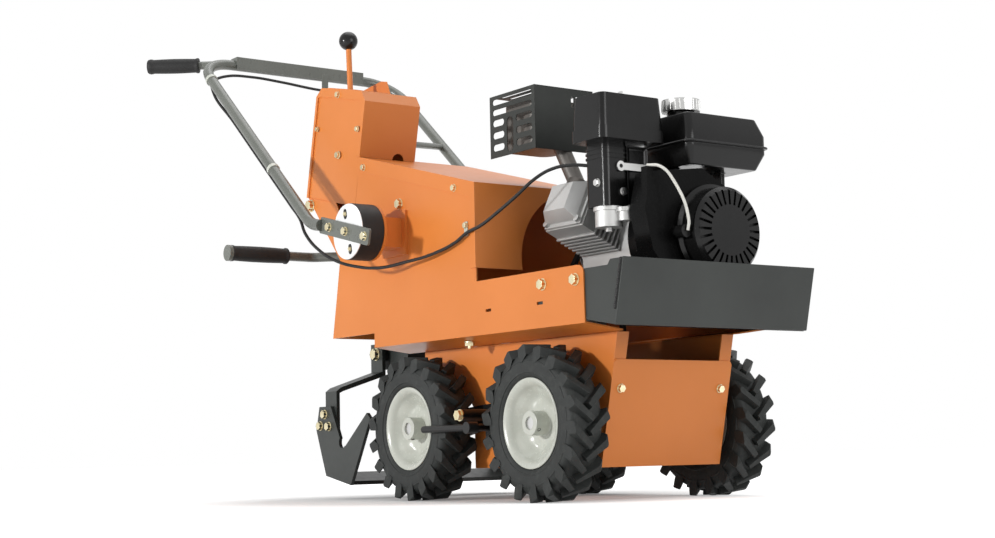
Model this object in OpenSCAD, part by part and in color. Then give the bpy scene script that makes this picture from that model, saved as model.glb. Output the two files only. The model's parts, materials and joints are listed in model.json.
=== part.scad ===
// Walk-behind sod cutter, in millimetres. X points forward, Y to the left and Z up.
// Pieces are drawn with the front axle over x = 0, the wheels' middle at y = 0 and the ground at z = 0.
// on_base() then moves every piece so that the machine stands on the middle of its own box.

/* [Wheels] */
// Outside diameter of the tyres over the lugs
tyre_d = 305; // [295:1:315]
// Width of the tyres
tyre_w = 80; // [74:1:84]
// Height of the tread lugs
lug_h = 14; // [10:1:16]
// Lugs in each half of a tread
lug_count = 18; // [14:1:22]
// Diameter of the rims at the bead seats
rim_d = 152; // [140:1:160]
// Height of the rim flanges over the bead seats
rim_flange = 12; // [8:1:14]
// Width of the rims over the flanges
rim_w = 69; // [62:1:71]
// Thickness of the rims
rim_wall = 3.5; // [2.5:0.5:4.5]
// Diameter of the rim hubs
hub_d = 48; // [40:1:60]
// Distance from a rim's middle to the face of its hub
hub_reach = 36; // [30:1:40]
// Diameter of both axles
axle_d = 25; // [20:1:30]
// Distance between the axles
wheelbase = 434; // [425:1:450]
// Distance between the mid-planes of the left and right tyres
track = 430; // [428:1:440]

/* [Chassis] */
// Gap from the tyres' inner sides to the chassis walls
wheel_gap = 25; // [24:1:32]
// Plate thickness of the chassis walls and floor
wall_t = 4; // [3:0.5:6]
// Gap from the top of the tyres to the top of the chassis walls
arch_gap = 17; // [15:1:25]
// Height of the chassis floor over the ground
ground_gap = 66; // [60:1:70]
// Backward lean of the front panel and the bumper plate, in degrees
front_rake = 13; // [8:1:16]
// Distance from the front axle to the foot of the front panel
nose = 92; // [85:1:100]
// Height of the front panel
panel_h = 204; // [190:1:220]
// Sheet thickness of the front panel and the body covers
sheet = 3; // [2:0.5:3.5]
// Distance from the front axle to the back end of the chassis walls
chassis_tail = 517; // [505:1:530]
// Height of the walls' underside over the rear axle
tail_lift = 62; // [56:1:70]

/* [Depth gear] */
// Place of the carriage pivot in the gap between front and rear tyres, as a share from the front
pivot_share = 0.8; // [0.76:0.01:0.82]
// Height of the carriage pivot over the axles
carriage_pivot_up = 23; // [15:1:30]
// Diameter of the carriage pivot shaft
carriage_pivot_d = 20; // [16:1:22]
// Thickness of the carriage arms
carriage_t = 8; // [6:1:10]
// Place of the depth clamp screw in the same gap
clamp_share = 0.19; // [0.17:0.01:0.22]
// Diameter of the clamp screw and of its lever
clamp_d = 15; // [12:1:16]
// Length of the clamp lever
clamp_lever_len = 171; // [140:1:180]

/* [Engine deck] */
// Width of the bumper plate
deck_w = 488; // [482:1:496]
// Height of the bumper plate
deck_h = 122; // [115:1:130]
// Distance from the front axle to the foot of the bumper plate
deck_nose = 256; // [254:1:265]
// Plate thickness of the deck
deck_t = 5; // [4:0.5:6]
// Height of the deck floor's top over the chassis walls
deck_up = 90; // [86:1:94]
// Distance from the front axle back to the deck floor's rear edge
deck_tail = 116; // [112:1:120]

/* [Body] */
// Width of the body over its side panels
body_w = 484; // [482:1:500]
// Height of the panel arms' top edge over the chassis walls
arm_up = 122; // [118:1:126]
// Height of the panel's lower edge over the chassis walls
skirt_up = 12; // [8:1:16]
// Height of the raised rear lower edge over the chassis walls
tail_up = 44; // [38:1:50]
// Distance from the front axle to the front end of the panel arms
arm_nose = 169; // [165:1:175]
// Distance from the front axle back to the cover's front face
cover_nose = 178; // [177:1:182]
// Height of the cover's front top edge over the chassis walls
cover_up = 326; // [316:1:336]
// Height of the cover's front lower edge over the chassis walls
cover_foot_up = 150; // [140:1:160]
// Slope of the cover's top, in degrees
cover_pitch = 15; // [13:1:16]
// Depth of the cover's side flanges
cover_flange = 33; // [25:1:40]
// Distance from the wheels' middle to the housing's left wall
housing_left = 68; // [60:1:76]
// Radius of the round opening in the cover's front face
cover_arch_r = 146; // [138:1:150]

/* [Tower] */
// Length of the tower along its top
tower_len = 220; // [205:1:230]
// Height of the tower along its rear edge
tower_h = 258; // [245:1:275]
// Width of the tower
tower_w = 142; // [130:1:155]
// Forward pitch of the tower, in degrees
tower_pitch = 12.5; // [10:0.5:14]
// Size of the tower's bevelled top edges
tower_bevel = 20; // [12:1:24]
// Diameter of the drive lever's rod
lever_d = 13; // [10:1:16]
// Diameter of the lever's ball knob
knob_d = 44; // [36:1:50]
// Length of the lever from its pivot to the middle of the knob
lever_len = 279; // [270:1:290]

/* [Handle] */
// Diameter of the handlebar tube
tube_d = 25.4; // [22:0.2:28]
// Distance between the handlebar's two side tubes
handle_w = 568; // [552:1:590]
// Slope of the side tubes, in degrees
handle_pitch = 40.5; // [38:0.5:42]
// Height of the crossbar over the isolators
handle_rise = 513; // [490:1:530]
// Diameter of the grips
grip_d = 36; // [32:1:40]
// Length of the handlebar grips
grip_len = 131; // [120:1:145]
// Sweep of the grips towards the operator, in degrees
grip_sweep = 37; // [30:1:42]
// Diameter of the rubber isolators
isolator_d = 122; // [110:1:130]
// Length of the rubber isolators
isolator_len = 53; // [45:1:60]
// Diameter of the throttle cable
cable_d = 7; // [5:0.5:8]

/* [Engine] */
// Height of the crankshaft over the deck floor
crank_up = 104; // [100:1:108]
// Distance of the crankshaft left of the wheels' middle
crank_left = 63; // [58:1:66]
// Distance from the front axle to the face of the recoil starter
recoil_nose = 247; // [243:1:250]
// Radius of the recoil starter's slotted face
recoil_r = 86; // [80:1:90]
// Rise of the cylinder above the level, in degrees
cylinder_tilt = 25; // [22:1:27]
// Distance from the crankshaft to the face of the valve cover
cylinder_reach = 215; // [208:1:222]
// Diameter of the crankshaft's output end
crank_d = 20; // [18:1:24]

/* [Drive] */
// Pitch diameter of the crankshaft's double pulley
crank_pulley_d = 90; // [80:1:96]
// Pitch diameter of the blade shaft's pulley
blade_pulley_d = 130; // [118:1:136]
// Pitch diameter of the gearbox pulley
gear_pulley_d = 140; // [128:1:150]
// Width of the drive belts
belt_w = 13; // [11:1:14]
// Thickness of the drive belts
belt_t = 8; // [7:0.5:9]

/* [Blade] */
// Cutting width over the blade's side plates
blade_w = 476; // [470:1:490]
// Thickness of the blade
blade_t = 8; // [6:1:10]
// Gap from the rear tyres to the tips of the blade's horns
horn_gap = 23; // [20:1:30]
// Thickness of the blade arms
arm_t = 9; // [8:1:12]
// Width of the blade arms
arm_w = 50; // [44:1:56]
// Diameter of the rocker shaft
rocker_d = 30; // [26:1:34]

/* [Fits] */
// Radial clearance of turning shafts
run_gap = 0.05; // [0.02:0.01:0.1]
// Gap between pieces that sit on each other without a tight fit
seat_gap = 0.3; // [0.2:0.05:0.5]

/* [Hidden] */
$fn = 48;
wheel_r = tyre_d / 2;
top_z = tyre_d + arch_gap;
chassis_w = track - tyre_w - 2 * wheel_gap;
half_c = chassis_w / 2;
half_b = body_w / 2;
rake = tan(front_rake);
tail_z = wheel_r + tail_lift;
belly_tail = wheelbase - 104;

// Places between the front and the rear tyres, measured back from the front axle
function between(share) = wheel_r + share * (wheelbase - tyre_d);
carriage_pivot_x = between(pivot_share);
clamp_x = between(clamp_share);

function nose_x(z) = nose + (z - ground_gap) * rake;
function deck_x(z) = deck_nose + (z - deck_z0) * rake;
function polar(r, a) = [r * cos(a), r * sin(a)];
function unit(v) = v / norm(v);

deck_z0 = top_z + 2;
deck_z = top_z + deck_up;
arm_z = top_z + arm_up;
skirt_z = top_z + skirt_up;
rear_z = top_z + tail_up;
x_front = deck_nose + deck_h * rake + deck_t;

// Blade pivot, and the body's tail that hangs over it
blade_reach = 185;
blade_px = -(wheelbase + wheel_r + horn_gap + blade_reach);
blade_pz = top_z + 12;
tail_x = blade_px + 34;
step_x = blade_px + 216;

// Cover and tower
cover_z = top_z + cover_up;
cover_slope = tan(cover_pitch);
tower_x = tail_x - 109.5;
tower_z = top_z + 386;
tower_y = -half_b;
cover_tail = tail_x + 103.5;
function cover_top(x) = cover_z + (-cover_nose - x) * cover_slope;
function tower_pt(u, w) = [tower_x + u * cos(tower_pitch) + w * sin(tower_pitch),
                           tower_z - u * sin(tower_pitch) + w * cos(tower_pitch)];
elbow_pt = [tail_x + 35.5, top_z + 222];
seam_pt = [tail_x + 88.5, top_z + 253];

// Isolators and handlebar
isolator_x = tail_x + 276.5;
isolator_z = top_z + 253;
handle_mid = (housing_left - half_b) / 2;
bracket_pitch = 14;
bar_z = isolator_z + handle_rise;
bend_x = isolator_x - 143.6;
bend_z = isolator_z + 32;
bar_x = bend_x - (bar_z - bend_z) / tan(handle_pitch);
grip_root = 73;
x_rear = bar_x - (grip_root + grip_len) * sin(grip_sweep) - grip_d / 2 * cos(grip_sweep);

// Drive lever
lever_u = 74;
lever_y = tower_y + 43;
lever_foot = tower_pt(lever_u + 42, tower_h - 150);
lever_lean = 3;

// Engine
crank_y = crank_left;
crank_z = deck_z + crank_up;
cyl_x = -45;
case_back = -110;
case_front = 60;
shroud_front = 192;
crank_tail = -172;
cyl_y = -cos(cylinder_tilt);
cyl_z = sin(cylinder_tilt);
cleaner_z = deck_z + 281;
tank_z = deck_z + 238;
guard_z = deck_z + 301;

// Belts and pulleys
belt_x1 = -158;
belt_x2 = -134;
pulley_w = belt_w + 8;
blade_shaft_y = 0;
blade_shaft_z = top_z + 50;
gear_shaft_y = 25;
gear_shaft_z = wheel_r + 70;
shaft_d = 22;
gear_w = 110;
drive_half = 82;

// Colours
orange = [0.86, 0.42, 0.16];
charcoal = [0.22, 0.23, 0.23];
black = [0.08, 0.08, 0.09];
steel = [0.62, 0.63, 0.62];
tube_grey = [0.45, 0.46, 0.44];
silver = [0.75, 0.75, 0.74];
zinc = [0.8, 0.68, 0.38];
cream = [0.9, 0.9, 0.86];

module on_base() { translate([-(x_front + x_rear) / 2, -handle_mid, 0]) children(); }

// Profile drawn as x and z, carried from y0 to y1
module along_y(y0, y1) { translate([0, y1, 0]) rotate([90, 0, 0]) linear_extrude(y1 - y0) children(); }

// Profile drawn as y and z, carried from x0 to x1
module along_x(x0, x1) { translate([x0, 0, 0]) rotate([90, 0, 90]) linear_extrude(x1 - x0) children(); }

module rod_y(d, y0, y1) { translate([0, y0, 0]) rotate([-90, 0, 0]) cylinder(d = d, h = y1 - y0); }
module rod_x(d, x0, x1) { translate([x0, 0, 0]) rotate([0, 90, 0]) cylinder(d = d, h = x1 - x0); }
module box(lo, hi) { translate(lo) cube(hi - lo); }
module both_sides() { children(); mirror([0, 1, 0]) children(); }

// Flat link with two round ends
module link(p, q, r1, r2) {
    a = atan2(q[1] - p[1], q[0] - p[0]);
    b = acos((r1 - r2) / norm(q - p));
    translate(p) circle(r1);
    translate(q) circle(r2);
    polygon([p + polar(r1, a - b), q + polar(r2, a - b), q + polar(r2, a + b), p + polar(r1, a + b)]);
}

// Rectangle with round corners, from corner to corner
module rounded(lo, hi, r) {
    translate([lo[0] + r, lo[1]]) square([hi[0] - lo[0] - 2 * r, hi[1] - lo[1]]);
    translate([lo[0], lo[1] + r]) square([hi[0] - lo[0], hi[1] - lo[1] - 2 * r]);
    for (x = [lo[0] + r, hi[0] - r], y = [lo[1] + r, hi[1] - r]) translate([x, y]) circle(r);
}

// Round bar through points, with an elbow of radius bend at each inner point.
// The elbows stand proud by a hair and reach a degree over the straight bars, so that they join cleanly.
elbow_proud = 0.2;
elbow_over = 1;
module bent_rod(pts, bend, d) {
    n = len(pts);
    dirs = [for (i = [0:n - 2]) unit(pts[i + 1] - pts[i])];
    turn = [for (i = [0:n - 1]) (i == 0 || i == n - 1) ? 0 : acos(dirs[i - 1] * dirs[i])];
    cut = [for (i = [0:n - 1]) bend * tan(turn[i] / 2)];
    for (i = [0:n - 2]) {
        a = pts[i] + dirs[i] * cut[i];
        b = pts[i + 1] - dirs[i] * cut[i + 1];
        bar(a, b, d);
    }
    for (i = [1:n - 2]) {
        u = dirs[i - 1];
        side = unit(dirs[i] - u * (u * dirs[i]));
        start = pts[i] - u * cut[i];
        frame(start + side * bend, -side, u) rotate(-elbow_over)
            rotate_extrude(angle = turn[i] + 2 * elbow_over) translate([bend, 0]) circle(d = d + elbow_proud);
    }
}

// Places children with their X along e1 and Y along e2
module frame(at, e1, e2) {
    e3 = cross(e1, e2);
    multmatrix([[e1[0], e2[0], e3[0], at[0]], [e1[1], e2[1], e3[1], at[1]], [e1[2], e2[2], e3[2], at[2]],
                [0, 0, 0, 1]]) children();
}

// Straight round bar from a to b
module bar(a, b, d) {
    v = b - a;
    side = abs(v[2]) < norm(v) * 0.9 ? [0, 0, 1] : [1, 0, 0];
    e3 = unit(v);
    e1 = unit(cross(side, e3));
    frame(a, e1, cross(e3, e1)) cylinder(d = d, h = norm(v));
}

// Hexagon bolt head on a washer, standing up from z = 0
module bolt_head(size) {
    cylinder(d = size * 1.9, h = size * 0.18);
    translate([0, 0, size * 0.18]) cylinder(d = size * 1.7, h = size * 0.6, $fn = 6);
}
module bolt_right(x, y, z, size) { translate([x, y, z]) rotate([90, 0, 0]) bolt_head(size); }

// Wheels
tyre_core = wheel_r - lug_h;
bead = rim_d / 2 + seat_gap;
flange_r = rim_d / 2 + rim_flange;
tyre_h = tyre_w / 2;
bead_h = rim_w / 2 - rim_wall - seat_gap;

function tyre_half() = [[bead, bead_h], [flange_r + seat_gap, bead_h], [flange_r + 4, tyre_h - 5],
    [flange_r + 14, tyre_h - 1], [tyre_core - 20, tyre_h], [tyre_core - 8, tyre_h - 2],
        [tyre_core, tyre_h - 10]];
function tyre_inner() = [[tyre_core - 9, tyre_h - 13], [tyre_core - 22, tyre_h - 9],
    [flange_r + 8, tyre_h - 12], [bead, bead_h - 12]];
function flip(pts) = [for (i = [len(pts) - 1:-1:0]) [pts[i][0], -pts[i][1]]];

// Tyre with its axle along Z and its outer side up
module tyre() {
    rotate_extrude() polygon(concat(tyre_half(), flip(tyre_half()), flip(tyre_inner()), tyre_inner()));
}

// One slanted lug, from the tread's middle out over the shoulder.
// Its outer corner lies on the tyre's full radius.
lug_w = 17;
lug_slant = 35;
lug_len = (tyre_h - 1.5 - lug_w / 2 * sin(lug_slant)) / cos(lug_slant) - 10;
lug_swing = lug_w / 2 * cos(lug_slant) + lug_len * sin(lug_slant);
lug_top = sqrt(wheel_r * wheel_r - lug_swing * lug_swing);
module lug() {
    low = tyre_core - 18;
    rotate([lug_slant, 0, 0]) along_y(-lug_w / 2, lug_w / 2)
        polygon([[tyre_core - 5, -3], [lug_top, -3], [lug_top, lug_len], [lug_top - 9, lug_len + 7],
                 [low, lug_len + 10], [low, lug_len + 4], [tyre_core - 5, lug_len - 10]]);
}

// Two staggered rows, turned so that one lug's corner stands on the ground
module lug_ring() {
    rotate([0, 0, 270 + atan2(lug_swing, lug_top)]) for (i = [0:lug_count - 1]) {
        rotate([0, 0, i * 360 / lug_count]) lug();
        rotate([0, 0, (i + 0.5) * 360 / lug_count]) mirror([0, 0, 1]) lug();
    }
}

module wheel_at(x, side) {
    on_base() translate([x, side * track / 2, wheel_r]) mirror([0, side > 0 ? 1 : 0, 0])
        rotate([90, 0, 0]) children();
}
module tyres(x) {
    color(black) for (side = [-1, 1]) wheel_at(x, side) union() {
        tyre();
        lug_ring();
    }
}
module front_tyres() { tyres(0); }
module rear_tyres() { tyres(-wheelbase); }

// Dished rim with its hub, axle along Z and outer side up
module rim() {
    b = rim_d / 2;
    h = rim_w / 2;
    t = rim_wall;
    drop = b - 14;
    dish = 2;
    bore = axle_d / 2 + run_gap;
    difference() {
        rotate_extrude() polygon([[flange_r, h], [flange_r, h - t], [b, h - t], [b, 18], [drop, 10],
            [drop, -12],
            [b, -20], [b, t - h], [flange_r, t - h], [flange_r, -h], [b - t, -h], [b - t, -21.5],
            [drop - t, -13.5], [drop - t, dish - t], [hub_d / 2, dish - t], [hub_d / 2, -hub_reach],
            [bore, -hub_reach], [bore, hub_reach], [hub_d / 2, hub_reach], [hub_d / 2, dish + 2],
            [hub_d / 2 + 3, dish], [drop - t - 8, dish + 1], [drop - t, dish + 9], [b - t, 20],
                [b - t, h]]);
        translate([0, 0, hub_reach - 12]) rotate([0, 90, 0]) cylinder(d = 7, h = hub_d);
    }
}
module rims(x) { color(cream) { wheel_at(x, -1) rim(); wheel_at(x, 1) rim(); } }
module front_rims() { rims(0); }
module rear_rims() { rims(-wheelbase); }

axle_half = track / 2 + hub_reach - 3;
module axle(x) { color(steel) on_base() translate([x, 0, wheel_r]) rod_y(axle_d, -axle_half, axle_half); }
module front_axle() { axle(0); }
module rear_axle() { axle(-wheelbase); }

// Flanged bearing whose back stands on the plane y = face
bearing_d = 44;
module bearing(face) {
    difference() {
        union() {
            rod_y(70, face - 8, face);
            rod_y(bearing_d, face - 16, face);
        }
        rod_y(axle_d + 2 * run_gap, face - 20, face + 20);
    }
}
module front_bearings() {
    color(charcoal) on_base() translate([0, 0, wheel_r]) both_sides() bearing(-half_c);
}
carriage_face = half_c + 1 + carriage_t;
module rear_bearings() {
    color(charcoal) on_base() translate([-wheelbase, 0, wheel_r]) both_sides() bearing(-carriage_face);
}

// Chassis
axle_hole_d = axle_d + 8;
module wall_outline() {
    difference() {
        polygon([[nose, ground_gap], [nose_x(top_z), top_z], [-chassis_tail, top_z],
            [-chassis_tail, tail_z],
                 [-belly_tail - 20, tail_z], [-belly_tail, tail_z - 24], [-belly_tail, ground_gap]]);
        translate([0, wheel_r]) circle(d = axle_hole_d);
        translate([-carriage_pivot_x, wheel_r + carriage_pivot_up])
            circle(d = carriage_pivot_d + 2 * run_gap);
    }
}

// Wall with the turned-in strip that carries the front panel
module chassis_wall() {
    along_y(-half_c, wall_t - half_c) wall_outline();
    along_y(-half_c, 30 - half_c)
        polygon([[nose, ground_gap], [nose_x(top_z), top_z], [nose_x(top_z) - wall_t, top_z],
                 [nose - wall_t, ground_gap]]);
}
module right_chassis_wall() {
    gusset_z = top_z - 36;
    color(orange) on_base() union() {
        chassis_wall();
        along_x(60, 60 + wall_t)
            polygon([[wall_t - half_c, gusset_z - 20], [wall_t - half_c, gusset_z + 22],
                [-half_c + 70, gusset_z - 2],
                     [-half_c + 70, gusset_z - 20]]);
    }
}
module left_chassis_wall() { color(orange) on_base() mirror([0, 1, 0]) chassis_wall(); }

floor_t = wall_t;
module chassis_floor() {
    color(orange) on_base() box([-belly_tail, wall_t - half_c, ground_gap],
        [nose - wall_t, half_c - wall_t, ground_gap + floor_t]);
}

// Two channels between the walls that carry the blade shaft's bearings
cross_xs = [-250, 37 - chassis_tail];
module cross_members() {
    color(orange) on_base() for (x = cross_xs) {
        difference() {
            union() {
                box([x - 25, wall_t - half_c, top_z - 24], [x + 25, half_c - wall_t, top_z - 18]);
                along_x(x - 12, x + 12) {
                    translate([blade_shaft_y, blade_shaft_z]) circle(d = 52);
                    translate([blade_shaft_y - 36, top_z - 18]) square([72, 12]);
                    translate([blade_shaft_y - 22, top_z - 18]) square([44, blade_shaft_z - top_z + 18]);
                }
            }
            translate([0, blade_shaft_y, blade_shaft_z]) rod_x(shaft_d + 2 * run_gap, x - 40, x + 40);
        }
    }
}

module front_panel() {
    z0 = ground_gap;
    z1 = ground_gap + panel_h;
    lean = 1 / cos(front_rake);
    color(orange) on_base() union() {
        translate([nose, 0, z0]) rotate([0, front_rake, 0]) along_x(0, sheet)
            union() {
                rounded([-half_c - 2, 0], [half_c + 2, panel_h * lean], 10);
                translate([-half_c - 2, 0]) square([chassis_w + 4, 40]);
            }
        for (y = [-half_c + 22, half_c - 22])
            translate([nose_x(z1 - 55) + sheet * lean, y, z1 - 55]) rotate([0, 90 + front_rake, 0])
                bolt_head(9);
    }
}

// Depth gear
carriage_pz = wheel_r + carriage_pivot_up;
clamp_z = wheel_r - 4;
slot_r = norm([carriage_pivot_x - clamp_x, carriage_pz - clamp_z]);
slot_a = atan2(clamp_z - carriage_pz, carriage_pivot_x - clamp_x);

// Carriage arm seen from the side, with the curved slot round the clamp screw on the right one
module carriage_arm(slotted) {
    pivot = [-carriage_pivot_x, carriage_pz];
    difference() {
        union() {
            link([-wheelbase, wheel_r], pivot, 34, 24);
            if (slotted) link(pivot, pivot + polar(slot_r, slot_a - 3), 24, 30);
        }
        translate([-wheelbase, wheel_r]) circle(d = axle_hole_d);
        translate(pivot) circle(d = carriage_pivot_d + 2 * run_gap);
        if (slotted) for (a = [-12:1.25:6]) translate(pivot + polar(slot_r, slot_a + a))
            circle(d = clamp_d + 2);
    }
}
boss_end = half_b - 6;
module carriage_side(slotted) {
    along_y(-carriage_face, -half_c - 1) carriage_arm(slotted);
    translate([-carriage_pivot_x, 0, carriage_pz]) difference() {
        rod_y(carriage_pivot_d + 5, -boss_end, -carriage_face);
        rod_y(carriage_pivot_d + 2 * run_gap, -half_b, 0);
    }
}
module rear_carriage() {
    tie_z = wheel_r + 5;
    color(black) on_base() union() {
        carriage_side(true);
        mirror([0, 1, 0]) carriage_side(false);
        box([64 - wheelbase, -carriage_face, tie_z], [76 - wheelbase, carriage_face, tie_z + 24]);
    }
}
module carriage_pivot() {
    color(zinc) on_base() translate([-carriage_pivot_x, 0, carriage_pz]) union() {
        rod_y(carriage_pivot_d, -boss_end, boss_end);
        both_sides() translate([0, -boss_end - seat_gap, 0]) rotate([90, 0, 0]) bolt_head(13);
        both_sides() rod_y(carriage_pivot_d - 2, -boss_end - 1, -boss_end + 1);
    }
}
clamp_leg = half_c + 2 + carriage_t;
module depth_bracket() {
    color(black) on_base() difference() {
        union() {
            along_x(-between(clamp_share + 0.217), -between(clamp_share - 0.155))
                polygon([[-half_c, clamp_z + 50], [-half_c, clamp_z + 92], [-half_c - 8, clamp_z + 92],
                    [-half_c - 8, clamp_z + 58],
                         [-clamp_leg - 50, clamp_z + 34], [-clamp_leg - 50, clamp_z - 22],
                             [-clamp_leg, clamp_z - 22],
                         [-clamp_leg, clamp_z + 50]]);
        }
        translate([-clamp_x, 0, clamp_z]) rod_y(clamp_d + 2 * run_gap, -half_b, 0);
    }
}
lever_out = track / 2 + tyre_h + 14;
module depth_lock_lever() {
    color(black) on_base() translate([-clamp_x, 0, clamp_z]) union() {
        rod_y(clamp_d, -lever_out, -half_c - 2);
        rod_y(clamp_d + 9, -lever_out - 8, 16 - lever_out);
        translate([0, -lever_out + 4, 0]) rod_x(clamp_d, -clamp_lever_len, 0);
        translate([-clamp_lever_len, -lever_out + 4, 0]) sphere(d = clamp_d);
    }
}

// Engine deck: floor, side plates and the welded bumper plate
module engine_deck() {
    inner = half_b - sheet;
    floor_front = deck_x(deck_z) + 1;
    color(charcoal) on_base() union() {
        along_y(-deck_w / 2, deck_w / 2)
            polygon([[deck_nose, deck_z0], [deck_nose + deck_t, deck_z0],
                     [deck_nose + deck_t + deck_h * rake, deck_z0 + deck_h],
                         [deck_nose + deck_h * rake, deck_z0 + deck_h]]);
        box([-deck_tail, -inner, deck_z - deck_t], [floor_front, inner, deck_z]);
        both_sides() along_y(-inner, deck_t - inner)
            polygon([[-deck_tail, deck_z - 30], [arm_nose, deck_z0 + 16], [deck_nose + 1, deck_z0],
                     [deck_x(deck_z0 + deck_h) + 1, deck_z0 + deck_h], [arm_nose + 74, deck_z0 + deck_h],
                     [arm_nose + 66, arm_z - 8], [-deck_tail, arm_z - 8]]);
    }
}

// Body
notch_r = 14;
module arm_bolts() {
    for (x = [42, 144]) bolt_right(x, -half_b, top_z + 95, 12);
}

// Skirt that closes the body down to the chassis wall
module skirt() {
    along_x(step_x, arm_nose)
        polygon([[-half_b, skirt_z], [-half_b, skirt_z + sheet], [-half_c, top_z + sheet],
            [-half_c, top_z]]);
}

// Lower part of a side panel, up to the arm's top edge, with two small slots
module panel_lower() {
    difference() {
        union() {
            polygon([[step_x, skirt_z], [arm_nose, skirt_z], [arm_nose - 1, arm_z - 18],
                [arm_nose - 19, arm_z],
                     [-cover_nose, arm_z], elbow_low(), [tail_x, rear_z], [step_x, rear_z]]);
            translate([arm_nose - 19, arm_z - 18]) circle(18);
        }
        for (x = [-150, 22]) translate([x, top_z + 57]) square([19, 6]);
    }
}
function elbow_low() = [tail_x + 36 * (arm_z - rear_z) / (elbow_pt[1] - rear_z), arm_z];
panel_top = cover_top(cover_tail + 17) - sheet - 6;
module right_side_panel() {
    color(orange) on_base() union() {
        along_y(-half_b, sheet - half_b) {
            panel_lower();
            difference() {
                polygon([elbow_low() - [0, 1], elbow_pt, seam_pt, [tower_front(cover_z + 90), cover_z + 90],
                         [tower_front(panel_top), panel_top], [-cover_nose - sheet - seat_gap,
                             cover_z - sheet - 1],
                         [-cover_nose - sheet - seat_gap, arm_z - 1]]);
            }
        }
        skirt();
        arm_bolts();
        bolt_right(-465, -half_b, top_z + 318, 12);
        translate([-268, -half_b + 42, skirt_z - 5 - 15]) cylinder(d = 10, h = 15);
        translate([-268, -half_b + 42, skirt_z - 5 - 9]) bolt_head(9);
    }
}
function tower_front(z) = tower_pt(tower_len, 0)[0] + (z - tower_pt(tower_len, 0)[1]) * tan(tower_pitch);
module left_side_panel() {
    color(orange) on_base() mirror([0, 1, 0]) union() {
        along_y(-half_b, sheet - half_b) panel_lower();
        skirt();
        arm_bolts();
        box([elbow_low()[0] + sheet + 0.3, -half_b, arm_z - sheet],
            [-cover_nose, -housing_left - seat_gap, arm_z]);
    }
}

// Back wall, leaning like the side panels' rear edges
module rear_panel() {
    t = sheet;
    color(orange) on_base() difference() { union() {
        along_y(sheet - half_b, half_b - sheet)
            polygon([[tail_x, rear_z], elbow_low(), elbow_low() + [t, 0], [tail_x + t, rear_z]]);
        along_y(sheet - half_b, housing_left - sheet)
            polygon([elbow_low(), elbow_pt, elbow_pt + [t, 0], elbow_low() + [t, 0]]);
        along_y(tower_y + tower_w, housing_left - sheet)
            polygon([elbow_pt, [cover_tail, cover_top(cover_tail) - 5],
                [cover_tail + t, cover_top(cover_tail) - 5], elbow_pt + [t, 0]]);
        along_y(tower_y + sheet, tower_y + tower_w - sheet)
            polygon([elbow_pt, [tower_x + 6, tower_z + 4], [tower_x + 6 + t, tower_z + 4],
                elbow_pt + [t + 2, 0]]);
    }
        box([tail_x - 20, -drive_half - 10, rear_z - 1], [tail_x + 40, drive_half + 10, blade_pz + 84]);
    }
}

// Sloped cover with flanges over both walls and a front face that arches over the pulleys
module belt_cover() {
    t = sheet;
    foot = top_z + cover_foot_up;
    rear = cover_tail;
    color(orange) on_base() union() {
        difference() {
            along_y(-half_b - t, housing_left + t)
                polygon([[rear, cover_top(rear)], [-cover_nose, cover_z], [-cover_nose, foot],
                    [-cover_nose - t, foot],
                         [-cover_nose - t, cover_z - t], [rear, cover_top(rear) - t]]);
            translate([0, 18, top_z + 175]) rod_x(2 * cover_arch_r, -cover_nose - 10, -cover_nose + 10);
            tower_room();
        }
        for (y = [-half_b - t, housing_left]) along_y(y, y + t)
            polygon([[rear + 12, cover_top(rear + 12) - 1], [-cover_nose, cover_z - 1], [-cover_nose, foot],
                     [-cover_nose - 18, foot], [-cover_nose - 18, cover_top(-cover_nose - 18)
                         - cover_flange],
                     [rear + 20, cover_top(rear + 20) - cover_flange]]);
        for (x = [cover_tail + 47, -250]) bolt_right(x, -half_b - t, cover_top(x) - 22, 8);
    }
}
module tower_room() {
    along_y(tower_y - sheet - 1, tower_y + tower_w + sheet + seat_gap)
        polygon([tower_pt(-10, 0), tower_pt(tower_len + sheet + seat_gap, 0),
            tower_pt(tower_len + sheet + seat_gap, tower_h),
                 tower_pt(-10, tower_h)]);
}
module housing_wall() {
    color(orange) on_base() along_y(housing_left - sheet, housing_left)
        polygon([elbow_low(), elbow_pt, [cover_tail, cover_top(cover_tail) - sheet - 5],
            [cover_tail + 6, cover_top(cover_tail + 6) - sheet - 1],
                 [-cover_nose - sheet, cover_z - sheet - 1], [-cover_nose - sheet, arm_z - 14],
                     elbow_low() + [sheet + 1, -14],
                 elbow_low() + [sheet + 1, 0]]);
}

// Tower
module tower_outline(grow) {
    b = tower_bevel;
    g = grow;
    k = g * tan(22.5);
    polygon([tower_pt(-g, 0), tower_pt(-g, tower_h - b + k), tower_pt(b - k, tower_h + g),
        tower_pt(tower_len - b + k, tower_h + g),
             tower_pt(tower_len + g, tower_h - b + k), tower_pt(tower_len + g, 0)]);
}
module tower_sides() {
    color(orange) on_base() union() {
        for (y = [tower_y, tower_y + tower_w - sheet]) along_y(y, y + sheet) difference() {
            tower_outline(0);
            polygon([elbow_pt - [0, 400], elbow_pt, tower_pt(-60, 0) - [0, 60], tower_pt(-60, -400)]);
            polygon([seam_pt + [0.5, 0], [tower_front(cover_z + 90) + 0.5, cover_z + 90],
                tower_pt(tower_len + 20, 40),
                     tower_pt(tower_len + 20, -300), seam_pt - [0, 300]]);
        }
        along_y(tower_y, tower_y + sheet)
            polygon([tower_pt(0, 0.5), tower_pt(tower_len * 0.6, 0.5), seam_pt - [0.5, 0],
                elbow_pt + [0, 0.5]]);
        bolt_right(tower_x + 16, tower_y, top_z + 364, 15);
    }
}
lever_slot = 84;
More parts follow.
